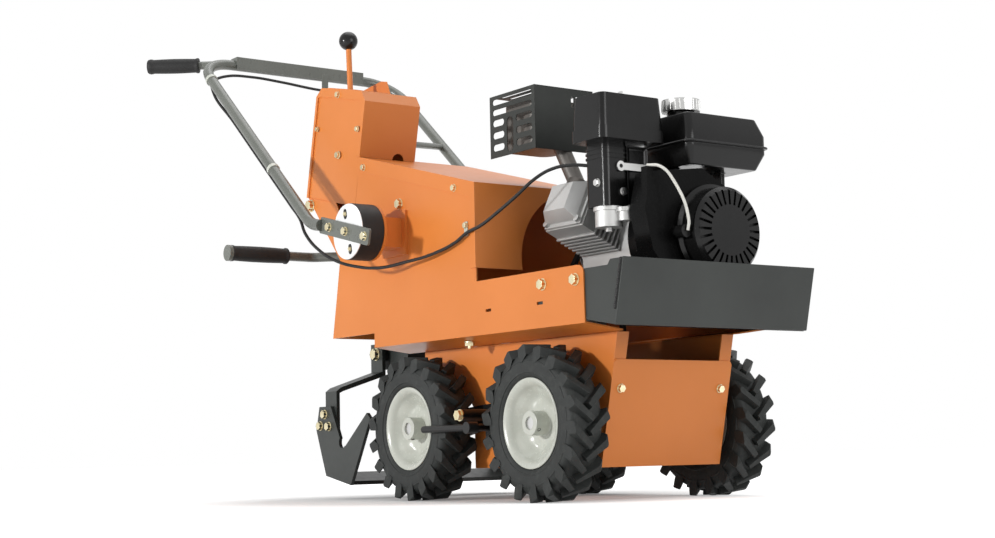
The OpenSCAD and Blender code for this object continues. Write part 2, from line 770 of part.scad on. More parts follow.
module tower_cover() {
    t = sheet;
    low = 112;
    edge = 18;
    color(orange) on_base() union() {
        difference() {
            along_y(tower_y - t, tower_y + tower_w + t) tower_outline(t);
            along_y(tower_y - t - 1, tower_y + tower_w + t + 1) difference() {
                tower_outline(0);
            }
            along_y(tower_y - t - 1, tower_y + tower_w + t + 1)
                polygon([tower_pt(tower_len - 40, low), tower_pt(tower_len + 40, low),
                    tower_pt(tower_len + 40, -60), tower_pt(tower_len - 40, -60)]);
            translate([0, tower_y + tower_w * 0.7, 0]) along_y_tower(tower_len, low)
                cylinder(r = 15, h = 60, center = true);
            lever_opening();
        }
        for (y = [tower_y - t, tower_y + tower_w]) along_y(y, y + t) difference() {
            tower_outline(0.5);
            polygon([tower_pt(edge / 3, -1), tower_pt(edge / 3, tower_h - tower_bevel),
                tower_pt(tower_bevel, tower_h - edge),
                     tower_pt(tower_len - tower_bevel, tower_h - edge), tower_pt(tower_len - edge / 3,
                         tower_h - tower_bevel),
                     tower_pt(tower_len - edge / 3, low), tower_pt(tower_len + 40, low),
                         tower_pt(tower_len + 40, -1)]);
        }
        p = tower_pt(tower_len * 0.45, tower_h - 10);
        bolt_right(p[0], tower_y - t, p[1], 8);
    }
}
// Children drawn along X, set in the tower's front face at height w
module along_y_tower(u, w) {
    p = tower_pt(u, w);
    translate([p[0], 0, p[1]]) rotate([0, 90 + tower_pitch, 0]) children();
}
module lever_opening() {
    p = tower_pt(lever_u, tower_h);
    translate([p[0], lever_y, p[1]]) rotate([0, tower_pitch, 0])
        translate([-lever_slot / 2, -lever_d / 2 - 4, -30]) cube([lever_slot, lever_d + 8, 60]);
}

// Slotted guide plate on the tower's top, with a turned-up stop at its back
module lever_gate() {
    p = tower_pt(lever_u, tower_h + sheet);
    color(orange) on_base() translate([p[0], lever_y, p[1]]) rotate([0, tower_pitch, 0]) difference() {
        union() {
            translate([-62, -26, 0]) cube([130, 96, 2.5]);
            translate([0, 67.5, 0]) along_y(0, 2.5) polygon([[-62, 0], [68, 0], [46, 30], [20, 30],
                [-62, 4]]);
        }
        translate([-lever_slot / 2, -lever_d / 2 - 3, -1]) cube([lever_slot, lever_d + 6, 5]);
    }
}
lever_base = [lever_foot[0], lever_y, lever_foot[1]];
module drive_lever() {
    color(orange) on_base() translate(lever_base) difference() {
        union() {
            rotate([0, -lever_lean, 0]) cylinder(d = lever_d, h = lever_len - knob_d * 0.2);
            rod_y(36, -12, 12);
        }
        rod_y(16 + 2 * run_gap, -20, 20);
    }
}
module lever_knob() {
    color(black) on_base() translate(lever_base) rotate([0, -lever_lean, 0]) difference() {
        translate([0, 0, lever_len]) sphere(d = knob_d);
        cylinder(d = lever_d + 2 * run_gap, h = lever_len - knob_d * 0.2 + 0.2);
    }
}
module lever_pivot() {
    color(zinc) on_base() translate([lever_foot[0], 0, lever_foot[1]]) union() {
        rod_y(16, tower_y + sheet, tower_y + tower_w - sheet);
        for (y = [lever_y - 12 - 8.3, lever_y + 12.3]) rod_y(26, y, y + 8);
    }
}

// Handle side: the flattened end lies on the isolator, and isolators face outwards
module handle_sides() { translate([0, handle_mid, 0]) both_sides() children(); }
wall_at = (housing_left + half_b) / 2;
face_t = 3;
bracket_t = 5;
tube_y = handle_w / 2;
plate_y = tube_y - bracket_t - 2;
rubber_out = plate_y - face_t;
rubber_in = rubber_out - isolator_len;
isolator_stand = rubber_in - wall_at;
module isolator_brackets() {
    color(orange) on_base() handle_sides() translate([isolator_x, 0, isolator_z]) union() {
        rod_y(isolator_d, -rubber_in, 6 - rubber_in);
        translate([-32, -rubber_in + 5, -32]) cube([64, isolator_stand - 11, 64]);
        translate([-48, -wall_at - 6, -48]) cube([96, 6, 96]);
    }
}
module rubber_isolators() {
    color(black) on_base() handle_sides() translate([isolator_x, 0, isolator_z])
        rod_y(isolator_d, -rubber_out, -rubber_in);
}
module isolator_plates() {
    color(silver) on_base() handle_sides() translate([isolator_x, 0, isolator_z]) union() {
        difference() {
            rod_y(isolator_d - 2, -rubber_out - face_t, -rubber_out);
            for (s = [-1, 1]) rotate([0, -bracket_pitch, 0]) translate([0, 0, s * 40]) for (z = [-4:2:4])
                translate([0, 0, z]) rod_y(15, -rubber_out - 5, -rubber_out - 0.8);
        }
        for (s = [-1, 1]) rotate([0, -bracket_pitch, 0]) translate([0, 0, s * 40])
            rod_y(9, -rubber_out - face_t + 0.4, -rubber_out - 0.4);
    }
}
bracket_xs = [-70, 0, 81];
module handlebar() {
    corner = 88;
    near = [[isolator_x - 100, -tube_y, isolator_z + 100 * tan(bracket_pitch)],
        [bend_x, -tube_y, bend_z], [bar_x, -tube_y, bar_z]];
    far = [for (i = [2:-1:0]) [near[i][0], -near[i][1], near[i][2]]];
    color(tube_grey) on_base() translate([0, handle_mid, 0]) union() {
        bent_rod(concat(near, far), corner, tube_d);
        both_sides() translate([isolator_x, 0, isolator_z]) rotate([0, bracket_pitch, 0])
            along_y(-plate_y - bracket_t, -plate_y)
            rounded([-112, -18], [98, 18], 6);
        both_sides() grip_line() rod_x(tube_d - 5, 0, grip_root + grip_len - 2);
        both_sides() translate([isolator_x, 0, isolator_z]) rotate([0, bracket_pitch, 0])
            for (x = bracket_xs)
            bolt_right(x, -plate_y - bracket_t, 0, 10);
    }
}
module handle_grips() {
    color(black) on_base() translate([0, handle_mid, 0]) both_sides() grip_line() difference() {
        union() {
            rod_x(grip_d, grip_root, grip_root + grip_len);
            rod_x(grip_d + 6, grip_root, grip_root + 6);
        }
        rod_x(tube_d - 5 + 2 * run_gap, grip_root - 10, grip_root + grip_len - 2 + seat_gap);
    }
}

// Line of a grip: it leaves the crossbar where the corner starts and is swept back
module grip_line() {
    translate([bar_x, 81 - tube_y, bar_z]) rotate([0, 0, 270 - grip_sweep]) children();
}
brace_x = bend_x - 320;
module handle_brace() {
    at_tube = [brace_x, handle_mid + tube_y, bend_z + (bend_x - brace_x) * tan(handle_pitch)];
    at_tower = tower_pt(60, 150);
    side = tower_y + tower_w;
    color(tube_grey) on_base() difference() {
        bar(at_tube, [at_tower[0], side - 6, at_tower[1]], 16);
        bar([bend_x, handle_mid + tube_y, bend_z], [bar_x, handle_mid + tube_y, bar_z],
            tube_d + 2 * run_gap);
        box([at_tower[0] - 60, side - 40, at_tower[1] - 60], [at_tower[0] + 60, side + run_gap,
            at_tower[1] + 60]);
    }
}

// Low bar for lifting the machine, on a foot that lies on the tower's sloped underside, with its grip
lift_x = tower_x + 15;
lift_z = top_z + 242;
module lift_handle() {
    slope = unit([tower_x + 6, tower_z + 4] - elbow_pt);
    out = [-slope[1], slope[0]];
    foot = elbow_pt + slope * 30;
    mid = foot + out * 8;
    color(tube_grey) on_base() union() {
        along_y(-205, -150)
            polygon([foot - slope * 24, foot + slope * 24, foot + slope * 24 + out * 5,
                foot - slope * 24 + out * 5]);
        bent_rod([[mid[0], -178, mid[1]], [mid[0] - 50, -178, lift_z], [lift_x, -240, lift_z],
            [lift_x, -330, lift_z]], 36, 22);
        translate([lift_x, 0, lift_z]) rod_y(grip_d - 3, -460, -310);
        translate([lift_x, 0, lift_z]) rod_y(grip_d + 1, -463, -453);
    }
}

// Channel that straddles the crossbar and turns on it
bail_lo = 98 - tube_y;
bail_hi = tube_y - 98;
module control_bail() {
    w = tube_d + 8;
    t = 2;
    color(tube_grey) on_base() translate([bar_x, handle_mid, bar_z]) difference() {
        union() {
            along_y(bail_lo, bail_hi) polygon([[-w / 2, -8], [-w / 2, w / 2 + 3], [w / 2, w / 2 + 3],
                [w / 2, -12],
                [w / 2 - t, -12], [w / 2 - t, w / 2 + 3 - t], [t - w / 2, w / 2 + 3 - t], [t - w / 2, -8]]);
            for (y = [bail_lo, bail_hi - 3]) along_y(y, y + 3) translate([-w / 2, -8])
                square([w, w / 2 + 10]);
            translate([w / 2 - t, 60, -48]) cube([t + 1, 18, 50]);
        }
        rod_y(tube_d + 2 * run_gap, bail_lo - 1, bail_hi + 1);
    }
}

// Throttle cable from the bail's tab, down the right tube and across the panel to the carburettor
cable_y = handle_mid - tube_y;
function under(x) = [x, cable_y, bend_z + (bend_x - x) * tan(handle_pitch)
    - (tube_d / 2 + cable_d / 2 + 2.6) / cos(handle_pitch)];
cable_start = [for (p = [[22.5, 69, -43], [30, 24, -43], [33, -73, -36], [31, -153, -32], [33, -223, -38],
    [45, -265, -58]]) [bar_x, handle_mid, bar_z] + p];
cable_slope = [for (d = [81, 191, 291, 391, 471, 511]) under(bar_x + d)];
cable_bow = [for (p = [[-156, -377, 9], [-120, -366, -27], [-88, -342, -53], [-46, -312, -69],
    [0, -288, -75],
    [80, -266, -69], [166, -256, -61]]) [isolator_x + p[0], p[1], isolator_z + p[2]]];
cable_front = [for (p = [[-240, -251, 118], [-200, -250, 133], [-152, -246, 144], [-110, -232, 168],
    [-75, -215, 194],
    [-40, -190, 228], [-10, -170, 244], [22, -148, 248], [51.8, -126, 244]]) p + [0, 0, deck_z]];
cable_pts = concat(cable_start, cable_slope, cable_bow, cable_front);
function mix(a, b, c, d, t) = 0.5 * (2 * b + (c - a) * t + (2 * a - 5 * b + 4 * c - d)
    * t * t + (3 * b - a - 3 * c + d) * t * t * t);
function at(pts, i) = pts[max(0, min(len(pts) - 1, i))];
function curve(pts, steps) = concat([for (i = [0:len(pts) - 2], s = [0:steps - 1])
    mix(at(pts, i - 1), at(pts, i), at(pts, i + 1), at(pts, i + 2), s / steps)], [pts[len(pts) - 1]]);

// Round tube along points, as one closed skin
module sweep(pts, d, sides) {
    n = len(pts);
    rings = [for (i = [0:n - 1]) let (t = unit(at(pts, i + 1)
        - at(pts, i - 1)), s = unit(cross(t, [0.1, 0.2, 1])), u = cross(s, t))
        for (k = [0:sides - 1]) pts[i] + d / 2 * (cos(k * 360 / sides) * s + sin(k * 360 / sides) * u)];
    walls = [for (i = [0:n - 2], k = [0:sides - 1]) let (a = i * sides + k, b = i * sides + (k + 1) % sides)
        each [[a, b, a + sides], [b, b + sides, a + sides]]];
    caps = [for (k = [1:sides - 2]) each [[0, k + 1, k], [(n - 1) * sides, (n - 1) * sides + k, (n - 1)
        * sides + k + 1]]];
    polyhedron(rings, concat(walls, caps));
}
module throttle_cable() {
    color(black) on_base() sweep(curve(cable_pts, 2), cable_d, 8);
}

// Ties round the right tube and the clip on the panel
module cable_ties() {
    color(cream) on_base() for (s = [640, 225]) {
        p = [bend_x - s * cos(handle_pitch), handle_mid - tube_y, bend_z + s * sin(handle_pitch)];
        translate(p) rotate([0, -90 + handle_pitch, 0]) difference() {
            cylinder(d = tube_d + 4, h = 9);
            translate([0, 0, -1]) cylinder(d = tube_d + 2 * run_gap, h = 11);
        }
    }
    color(silver) on_base() translate([-212, -half_b - 2, top_z + 226]) union() {
        translate([-6, 0, -8]) cube([12, 2, 30]);
        translate([0, 0.5, 14]) rotate([90, 0, 0]) bolt_head(7);
    }
}

// Engine
module cyl_frame() { translate([cyl_x, crank_y, crank_z]) rotate([90 - cylinder_tilt, 0, 0]) children(); }
module engine_block() {
    foot_w = 170;
    color(silver) on_base() difference() {
        union() {
            along_x(case_back, case_front) {
                translate([crank_y, crank_z]) circle(88);
                polygon([[crank_y - 78, deck_z], [crank_y + 84, deck_z], [crank_y + 90, deck_z + 30],
                    [crank_y + 86, crank_z + 20],
                         [crank_y - 60, crank_z + 60], [crank_y - 86, crank_z]]);
            }
            box([case_back + 18, crank_y - foot_w / 2, deck_z], [case_front - 18, crank_y + foot_w / 2,
                deck_z + 12]);
            cyl_frame() {
                cylinder(d = 92, h = cylinder_reach - 40);
                for (i = [0:6]) translate([-62, -56, 74 + i * 11]) cube([124, 112, 4]);
                translate([-60, -52, cylinder_reach - 70]) cube([120, 104, 32]);
            }
        }
        translate([0, crank_y, crank_z]) rod_x(crank_d + 2 * run_gap, case_back - 20, case_front + 20);
    }
}
module valve_cover() {
    low = cylinder_reach - 38;
    color(silver) on_base() cyl_frame() union() {
        translate([-58, -50, low]) cube([116, 100, 6]);
        hull() {
            translate([-50, -42, low]) cube([100, 84, 14]);
            translate([-34, -30, low]) cube([68, 60, 38]);
        }
        for (x = [-50, 50], y = [-42, 42]) translate([x, y, low]) cylinder(d = 14, h = 14);
    }
}
module fan_shroud() {
    plate_back = 146;
    color(black) on_base() difference() {
        union() {
            along_x(case_front + seat_gap, shroud_front) translate([crank_y, crank_z]) circle(104);
            along_x(plate_back, shroud_front)
                polygon([[crank_y - 104, deck_z + 8], [crank_y + 60, deck_z + 8],
                    [crank_y + 60, crank_z + 85],
                         [crank_y - 20, crank_z + 128], [crank_y - 152, crank_z + 112],
                             [crank_y - 170, crank_z + 40],
                         [crank_y - 152, crank_z - 40]]);
            box([plate_back + 30, crank_y - 163, crank_z + 40], [shroud_front, crank_y - 147,
                crank_z + 121]);
        }
        translate([0, crank_y, crank_z]) rod_x(2 * crank_d, case_front - 1, case_front + 40);
    }
}
recoil_slots = 28;
module recoil_cover() {
    color(black) on_base() translate([0, crank_y, crank_z]) union() {
        difference() {
            rotate([0, 90, 0]) rotate_extrude()
                polygon([[0, shroud_front], [recoil_r + 10, shroud_front],
                    [recoil_r + 10, shroud_front + 8],
                         [recoil_r + 2, shroud_front + 12], [recoil_r, recoil_nose - 10],
                             [recoil_r - 8, recoil_nose - 2],
                         [46, recoil_nose], [0, recoil_nose]]);
            for (i = [0:recoil_slots - 1]) rotate([i * 360 / recoil_slots, 0, 0])
                translate([recoil_nose - 12, -2.6, 50]) cube([20, 5.2, recoil_r - 56]);
        }
        translate([shroud_front, -96, -4]) rod_x(26, 0, 34);
    }
}

// Fuel tank in two halves with a lip between them
function foot_z(y) = sqrt(104 * 104 - pow(min(abs(y), abs(y + 12)), 2)) + seat_gap;
module fuel_tank() {
    lo = [62, crank_y - 64];
    hi = [206, crank_y + 146];
    lip = tank_z + 44;
    color(black) on_base() union() {
        hull() for (x = [lo[0] + 14, hi[0] - 14], y = [lo[1] + 14, hi[1] - 14]) {
            translate([x, y, lip - 12]) cylinder(r = 14, h = 24, $fn = 24);
            translate([x + (x < 130 ? 8 : -8), y + (y < crank_y ? 8 : -10), tank_z])
                cylinder(r = 8, h = 30, $fn = 24);
        }
        hull() for (x = [lo[0] + 14, hi[0] - 14], y = [lo[1] + 14, hi[1] - 14]) {
            translate([x, y, lip]) cylinder(r = 14, h = 24, $fn = 24);
            translate([x + (x < 130 ? 6 : -10), y + (y < crank_y ? 6 : -12), lip + 44])
                cylinder(r = 12, h = 16, $fn = 24);
        }
        translate([0, 0, lip - 2]) linear_extrude(5) rounded([lo[0] - 6, lo[1] - 6],
            [hi[0] + 6, hi[1] + 6], 18);
        translate([134, crank_y - 18, lip]) cylinder(d = 56, h = 70);
        for (y = [-44, 78]) translate([84, crank_y + y, crank_z + foot_z(y)])
            cube([56, 12, tank_z - crank_z - foot_z(y) + 10]);
    }
}
cap_z = tank_z + 44 + 70;
module fuel_cap() {
    color(silver) on_base() translate([134, crank_y - 18, cap_z + seat_gap]) difference() {
        union() {
            cylinder(d = 76, h = 24);
            for (i = [0:23]) rotate(i * 15) translate([37.4, 0, 2]) cylinder(d = 3, h = 20);
        }
        translate([0, 0, -1]) cylinder(d = 40, h = 4);
    }
}

// Air cleaner: tapered lid with its knob, over the ribbed intake elbow
elbow_x = 118;
module air_cleaner() {
    lo = [58, crank_y - 238];
    hi = [154, crank_y - 82];
    color(black) on_base() union() {
        hull() for (x = [lo[0] + 12, hi[0] - 12], y = [lo[1] + 12, hi[1] - 12]) {
            translate([x, y, cleaner_z + 22]) cylinder(r = 12, h = 20, $fn = 24);
            translate([x + (x < 100 ? 3 : -3), y + (y < -100 ? 3 : -3), cleaner_z + 70])
                cylinder(r = 12, h = 20, $fn = 24);
        }
        translate([0, 0, cleaner_z]) linear_extrude(24) rounded(lo - [3, 3], hi + [3, 3], 14);
        translate([0, 0, cleaner_z - 124]) linear_extrude(126) rounded([54, lo[1] + 34],
            [elbow_x, lo[1] + 92], 12);
        for (i = [0:2]) translate([0, 0, cleaner_z - 12 - i * 9]) linear_extrude(4)
            rounded([52, lo[1] + 32], [elbow_x + 2, lo[1] + 94], 13);
        translate([choke_at[0] - 4, choke_at[1], choke_at[2]]) rod_x(8, 0, 9.5);
        translate([106, crank_y - 158, cleaner_z + 88]) cylinder(d = 8, h = 12);
    }
}
module wing_nut() {
    color(steel) on_base() translate([106, crank_y - 158, cleaner_z + 90 + seat_gap]) difference() {
        union() {
            cylinder(d = 16, h = 8);
            translate([-15, -1.5, 2]) cube([30, 3, 11]);
        }
        translate([0, 0, -1]) cylinder(d = 8 + 2 * run_gap, h = 20);
    }
}
module carburettor() {
    y0 = crank_y - 204 + 29;
    z1 = cleaner_z - 124;
    color(silver) on_base() union() {
        translate([90, y0, z1 - 40]) cylinder(d = 54, h = 34);
        translate([90, y0, z1 - 8]) cylinder(d = 60, h = 8 - seat_gap);
        translate([90, y0, z1 - 48]) cylinder(d = 14, h = 12, $fn = 6);
        translate([126, y0 + 12, z1 - 30]) cylinder(d = 28, h = 20);
        translate([126, y0 + 12, z1 - 12]) cylinder(d = 34, h = 8);
        translate([105, y0 - 4, z1 - 12]) cube([30, 30, 8]);
        translate([60, y0 + 10, z1 - 12]) cube([50, 40, 11]);
    }
}
choke_at = [elbow_x + seat_gap, crank_y - 168, cleaner_z - 46];
module choke_lever() {
    color(tube_grey) on_base() translate(choke_at) difference() {
        union() {
            rod_x(20, 0, 5);
            along_x(0, 3) translate([0, -7]) square([72, 14]);
        }
        rod_x(8 + 2 * run_gap, -1, 8);
    }
}

// Silencer box on its pipe, and the slotted guard around it
guard_lo = [-250, crank_y - 213];
guard_hi = [-92, crank_y - 60];
guard_h = 132;
module muffler() {
    color(steel) on_base() union() {
        translate([0, 0, guard_z + 12]) linear_extrude(96) rounded(guard_lo + [16, 18],
            guard_hi - [18, 14], 26);
        bar([-76, crank_y - 120, crank_z + 125], [-130, crank_y - 126, guard_z + 30], 34);
        cyl_frame() translate([-31, 56 + seat_gap, cylinder_reach - 55]) rotate([-90, 0, 0])
            cylinder(d = 48, h = 12);
    }
}
module muffler_guard() {
    t = 2;
    lo = guard_lo;
    hi = guard_hi;
    color(charcoal) on_base() translate([0, 0, guard_z]) union() {
        difference() {
            box([lo[0], lo[1], 0], [hi[0], hi[1], guard_h]);
            box([lo[0] - 1, lo[1] + t, -1], [hi[0] - t, hi[1] + 1, guard_h - t]);
            for (z = [14, 40, 66]) for (x = [lo[0] + 10, hi[0] - 66]) translate([x, lo[1] - 5, z])
                cube([56 - (x < -200 ? 14 : 0), 20, 14]);
            for (z = [92, 114]) translate([lo[0] + 10, lo[1] - 5, z]) cube([138, 20, 11]);
            translate([lo[0] + 58, lo[1] - 5, -1]) cube([24, 20, 72]);
            translate([lo[0] + 70, lo[1] + 10, 71]) rotate([90, 0, 0]) cylinder(r = 12, h = 20);
            for (i = [0:5]) translate([lo[0] + 12, lo[1] + 18 + i * 22, guard_h - 10]) cube([128, 10, 20]);
        }
        translate([lo[0] + 60, lo[1] + 17, 108]) cylinder(d = 10, h = guard_h - 109);
    }
}

// Starter rope from the recoil starter's outlet up to its guide
rope_at = [shroud_front + 34, crank_y - 96, crank_z - 4];
module starter_rope() {
    top = [shroud_front - 8, crank_y - 155, crank_z + 124.4];
    pts = [rope_at + [3.4, 0, 0], rope_at + [7, 0, 20], [218, crank_y - 116, crank_z + 90],
        [206, crank_y - 140, crank_z + 120], top];
    color(cream) on_base() sweep(curve(pts, 4), 6, 8);
}

// Crankshaft with its double belt pulley
module groove_pulley(x, d) {
    rim = d / 2 + belt_t / 2;
    root = d / 2 - belt_t / 2 - seat_gap;
    side = belt_w / 2 + seat_gap;
    rotate([0, 90, 0]) translate([0, 0, x]) rotate_extrude()
        polygon([[0, -pulley_w / 2], [rim, -pulley_w / 2], [rim, -side], [root, -side],
                 [root, side], [rim, side], [rim, pulley_w / 2], [0, pulley_w / 2]]);
}
module crankshaft() {
    color(steel) on_base() translate([0, crank_y, crank_z]) union() {
        rod_x(crank_d, crank_tail, case_front + 20);
        groove_pulley(belt_x1, crank_pulley_d);
        groove_pulley(belt_x2, crank_pulley_d);
        rod_x(44, belt_x1, belt_x2);
        rod_x(34, belt_x2, case_back - 1);
    }
}

// Outline of a belt pulled round two pulleys
function arc(c, r, a0, a1) = [for (i = [0:24]) c + polar(r, a0 + (a1 - a0) * i / 24)];
function loop(p, q, r1, r2) = let (a = atan2(q[1] - p[1], q[0] - p[0]), b = acos((r1 - r2) / norm(q - p)))
    concat(arc(p, r1, a + b, a + 360 - b), arc(q, r2, a - b, a + b));
module belt(x, p, q, d1, d2) {
    t = belt_t / 2;
    along_x(x - belt_w / 2, x + belt_w / 2) difference() {
        polygon(loop(p, q, d1 / 2 + t, d2 / 2 + t));
        polygon(loop(p, q, d1 / 2 - t, d2 / 2 - t));
    }
}
module drive_belts() {
    crank = [crank_y, crank_z];
    color(black) on_base() union() {
        belt(belt_x1, crank, [blade_shaft_y, blade_shaft_z], crank_pulley_d, blade_pulley_d);
        belt(belt_x2, crank, [gear_shaft_y, gear_shaft_z], crank_pulley_d, gear_pulley_d);
    }
}

// Long shaft that carries the drive to the blade gearbox
module blade_drive() {
    color(steel) on_base() translate([0, blade_shaft_y, blade_shaft_z]) union() {
        rod_x(shaft_d, blade_px + 70, belt_x1 + pulley_w / 2 + 1);
        groove_pulley(belt_x1, blade_pulley_d);
        rod_x(46, belt_x1 - 30, belt_x1);
    }
}

// Reduction gearbox round the front axle, with its input pulley
module gearbox() {
    floor_z = ground_gap + floor_t;
    color(charcoal) on_base() difference() {
        union() {
            along_y(-gear_w / 2, gear_w / 2) {
                translate([0, wheel_r]) circle(66);
                translate([-66, floor_z]) square([132, wheel_r - floor_z]);
                translate([-62, wheel_r]) square([90, gear_shaft_z - wheel_r + 30]);
            }
            translate([0, 0, wheel_r]) rod_y(60, -gear_w / 2 - 14, gear_w / 2 + 14);
            box([-84, -gear_w / 2, floor_z], [84, gear_w / 2, floor_z + 10]);
            translate([0, gear_shaft_y, gear_shaft_z]) rod_x(48, -86, 0);
        }
        translate([0, 0, wheel_r]) rod_y(axle_d + 2 * run_gap, -gear_w, gear_w);
        translate([0, gear_shaft_y, gear_shaft_z]) rod_x(shaft_d + 2 * run_gap, -100, -39);
    }
}
module gearbox_input() {
    color(steel) on_base() translate([0, gear_shaft_y, gear_shaft_z]) union() {
        rod_x(shaft_d, belt_x2 - pulley_w / 2 - 2, -40);
        groove_pulley(belt_x2, gear_pulley_d);
        rod_x(40, belt_x2, -90);
    }
}

// Closed gearbox that rocks the blade, on rails from the chassis
module blade_gearbox() {
    y = drive_half;
    color(charcoal) on_base() difference() {
        union() {
            along_y(-y, y) {
                translate([blade_px, blade_pz]) circle(36);
                translate([blade_px - 36, blade_pz]) square([136, 82]);
                translate([blade_px, blade_pz - 36]) square([100, 60]);
            }
            both_sides() along_y(-y - 8, -y) translate([blade_px - 30, top_z + 46])
                square([-blade_px - chassis_tail + 60, 40]);
            both_sides() along_y(-half_c + wall_t, -y) translate([-chassis_tail + 2, top_z - 40])
                square([8, 126]);
        }
        translate([blade_px, 0, blade_pz]) rod_y(rocker_d + 2 * run_gap, -y - 10, y + 10);
        translate([0, blade_shaft_y, blade_shaft_z]) rod_x(shaft_d + 2 * run_gap, blade_px + 60,
            blade_px + 120);
    }
}

// Bent arms that hang the blade from the rocker shaft
arm_in = 96;
arm_low = blade_pz - 46;
blade_in = blade_w / 2 - blade_t;
module blade_arms() {
    t = arm_t;
    out = blade_in - seat_gap;
    z2 = arm_low - 42;
    color(charcoal) on_base() union() {
        translate([blade_px, 0, blade_pz]) rod_y(rocker_d, -arm_in, arm_in);
        both_sides() along_x(blade_px - arm_w / 2, blade_px + arm_w / 2)
            polygon([[-arm_in, blade_pz + 24], [-arm_in - t, blade_pz + 24], [-arm_in - t, arm_low + 4],
                [-out + 12, z2 + t], [-out, z2],
                     [-out, blade_pz - 178], [t - out, blade_pz - 178], [t - out, z2 - 4],
                         [-out + 17, z2], [-arm_in, arm_low - 5]]);
        both_sides() bolt_right(blade_px, -arm_in - t, blade_pz, 15);
    }
}

// Blade with its two fork-shaped side plates
module blade() {
    back = blade_px - 40;
    horn = [blade_px + blade_reach, blade_pz - 154];
    tip = [blade_px + 98, 32];
    heel = [blade_px - 12, 53];
    color(charcoal) on_base() union() {
        both_sides() along_y(-blade_w / 2, -blade_in) difference() {
            polygon([[back, blade_pz - 122], [back - 15, blade_pz - 176], heel, tip, horn, horn + [-14, 12],
                     [blade_px + 76, blade_pz - 214], [blade_px + 60, blade_pz - 210],
                         [blade_px + 12, blade_pz - 122]]);
            translate([blade_px + 62, blade_pz - 205]) circle(14);
        }
        along_y(-blade_in - 1, blade_in + 1)
            polygon([heel + [4, 0.5], tip - [4, -0.5], tip + [-10, blade_t + 1], heel + [8, blade_t]]);
        both_sides() for (p = [[-14, -140], [4, -168], [-34, -166]])
            bolt_right(blade_px + p[0], -blade_w / 2, blade_pz + p[1], 11);
    }
}

front_tyres();
rear_tyres();
front_rims();
rear_rims();
front_axle();
rear_axle();
front_bearings();
rear_bearings();
right_chassis_wall();
left_chassis_wall();
chassis_floor();
cross_members();
front_panel();
rear_carriage();
carriage_pivot();
depth_bracket();
depth_lock_lever();
engine_deck();
right_side_panel();
left_side_panel();
rear_panel();
belt_cover();
housing_wall();
tower_sides();
tower_cover();
lever_gate();
drive_lever();
lever_knob();
lever_pivot();
isolator_brackets();
rubber_isolators();
isolator_plates();
handlebar();
handle_brace();
handle_grips();
lift_handle();
control_bail();
throttle_cable();
cable_ties();
engine_block();
valve_cover();
fan_shroud();
recoil_cover();
fuel_tank();
fuel_cap();
air_cleaner();
wing_nut();
carburettor();
choke_lever();
muffler();
muffler_guard();
starter_rope();
crankshaft();
drive_belts();
blade_drive();
gearbox();
gearbox_input();
blade_gearbox();
blade_arms();
blade();
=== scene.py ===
# %% [markdown]
# # A walk-behind sod cutter
# This lesson dresses a machine whose solids were already built as CAD parts. The solids arrive
# as a fixed frame, in metres, with the ground at z = 0 and +X pointing forward. Blender adds
# what the solids lack: soft edges, finishes, cables, tread and light.

# %% Load the solids
import json
import math

import bmesh
import bpy
from mathutils import Matrix, Vector


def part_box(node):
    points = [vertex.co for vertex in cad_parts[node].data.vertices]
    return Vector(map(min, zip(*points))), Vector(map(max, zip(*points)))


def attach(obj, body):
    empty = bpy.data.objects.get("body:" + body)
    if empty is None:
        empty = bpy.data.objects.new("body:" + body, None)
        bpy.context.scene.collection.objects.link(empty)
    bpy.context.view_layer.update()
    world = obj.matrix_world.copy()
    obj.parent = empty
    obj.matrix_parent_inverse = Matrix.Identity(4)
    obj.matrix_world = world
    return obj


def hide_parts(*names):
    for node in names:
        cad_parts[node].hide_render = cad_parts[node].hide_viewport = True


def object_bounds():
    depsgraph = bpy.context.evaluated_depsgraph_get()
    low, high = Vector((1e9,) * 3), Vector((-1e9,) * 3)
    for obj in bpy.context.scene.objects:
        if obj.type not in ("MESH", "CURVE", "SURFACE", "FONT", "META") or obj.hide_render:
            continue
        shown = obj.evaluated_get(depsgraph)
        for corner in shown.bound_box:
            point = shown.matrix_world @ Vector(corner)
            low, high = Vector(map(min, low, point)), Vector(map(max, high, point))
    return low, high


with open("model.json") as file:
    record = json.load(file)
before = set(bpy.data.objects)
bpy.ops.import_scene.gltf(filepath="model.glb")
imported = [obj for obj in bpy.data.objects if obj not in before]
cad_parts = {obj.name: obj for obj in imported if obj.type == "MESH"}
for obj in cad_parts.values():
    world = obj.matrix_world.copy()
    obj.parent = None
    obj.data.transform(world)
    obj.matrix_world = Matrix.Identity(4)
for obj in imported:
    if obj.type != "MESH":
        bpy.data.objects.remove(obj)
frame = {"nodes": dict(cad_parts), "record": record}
cad_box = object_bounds()
nodes = frame["nodes"]
record = frame["record"]
body_of = {n: b for b, members in record["behaviour"]["bodies"].items() for n in members}
slot_of = {p["node"]: p["material_slot"] for p in record["subparts"]}

# %% [markdown]
# ## Where the photographer stood
# The camera sits low, in front and to the right of the machine, and looks slightly up. Its place
# was worked out from the wheels, which are known circles, so it is written in the machine's own
# frame: the front axle above x = 0, the wheels' middle at y = 0. The bumper's front and the middle of
# the whole width tie that frame to the frame of the solids.

# %% Camera
MM = 0.001
UP = Vector((0, 0, 1))
BUMPER_X, WIDTH_MID_Y = 289.166, -87.0
MID = Vector((BUMPER_X * MM - cad_box[1][0], WIDTH_MID_Y * MM, 0.0))
CAMERA_AT = (2650.9, -2216.4, 97.0)
CAMERA_YAW, CAMERA_PITCH, CAMERA_ROLL = math.radians(144.39), math.radians(6.14), math.radians(-1.25)
FOCAL_PX, PHOTO_WIDTH_PX, SENSOR_WIDTH = 1709.72, 995.0, 36.0
FAR_CLIP = 60.0


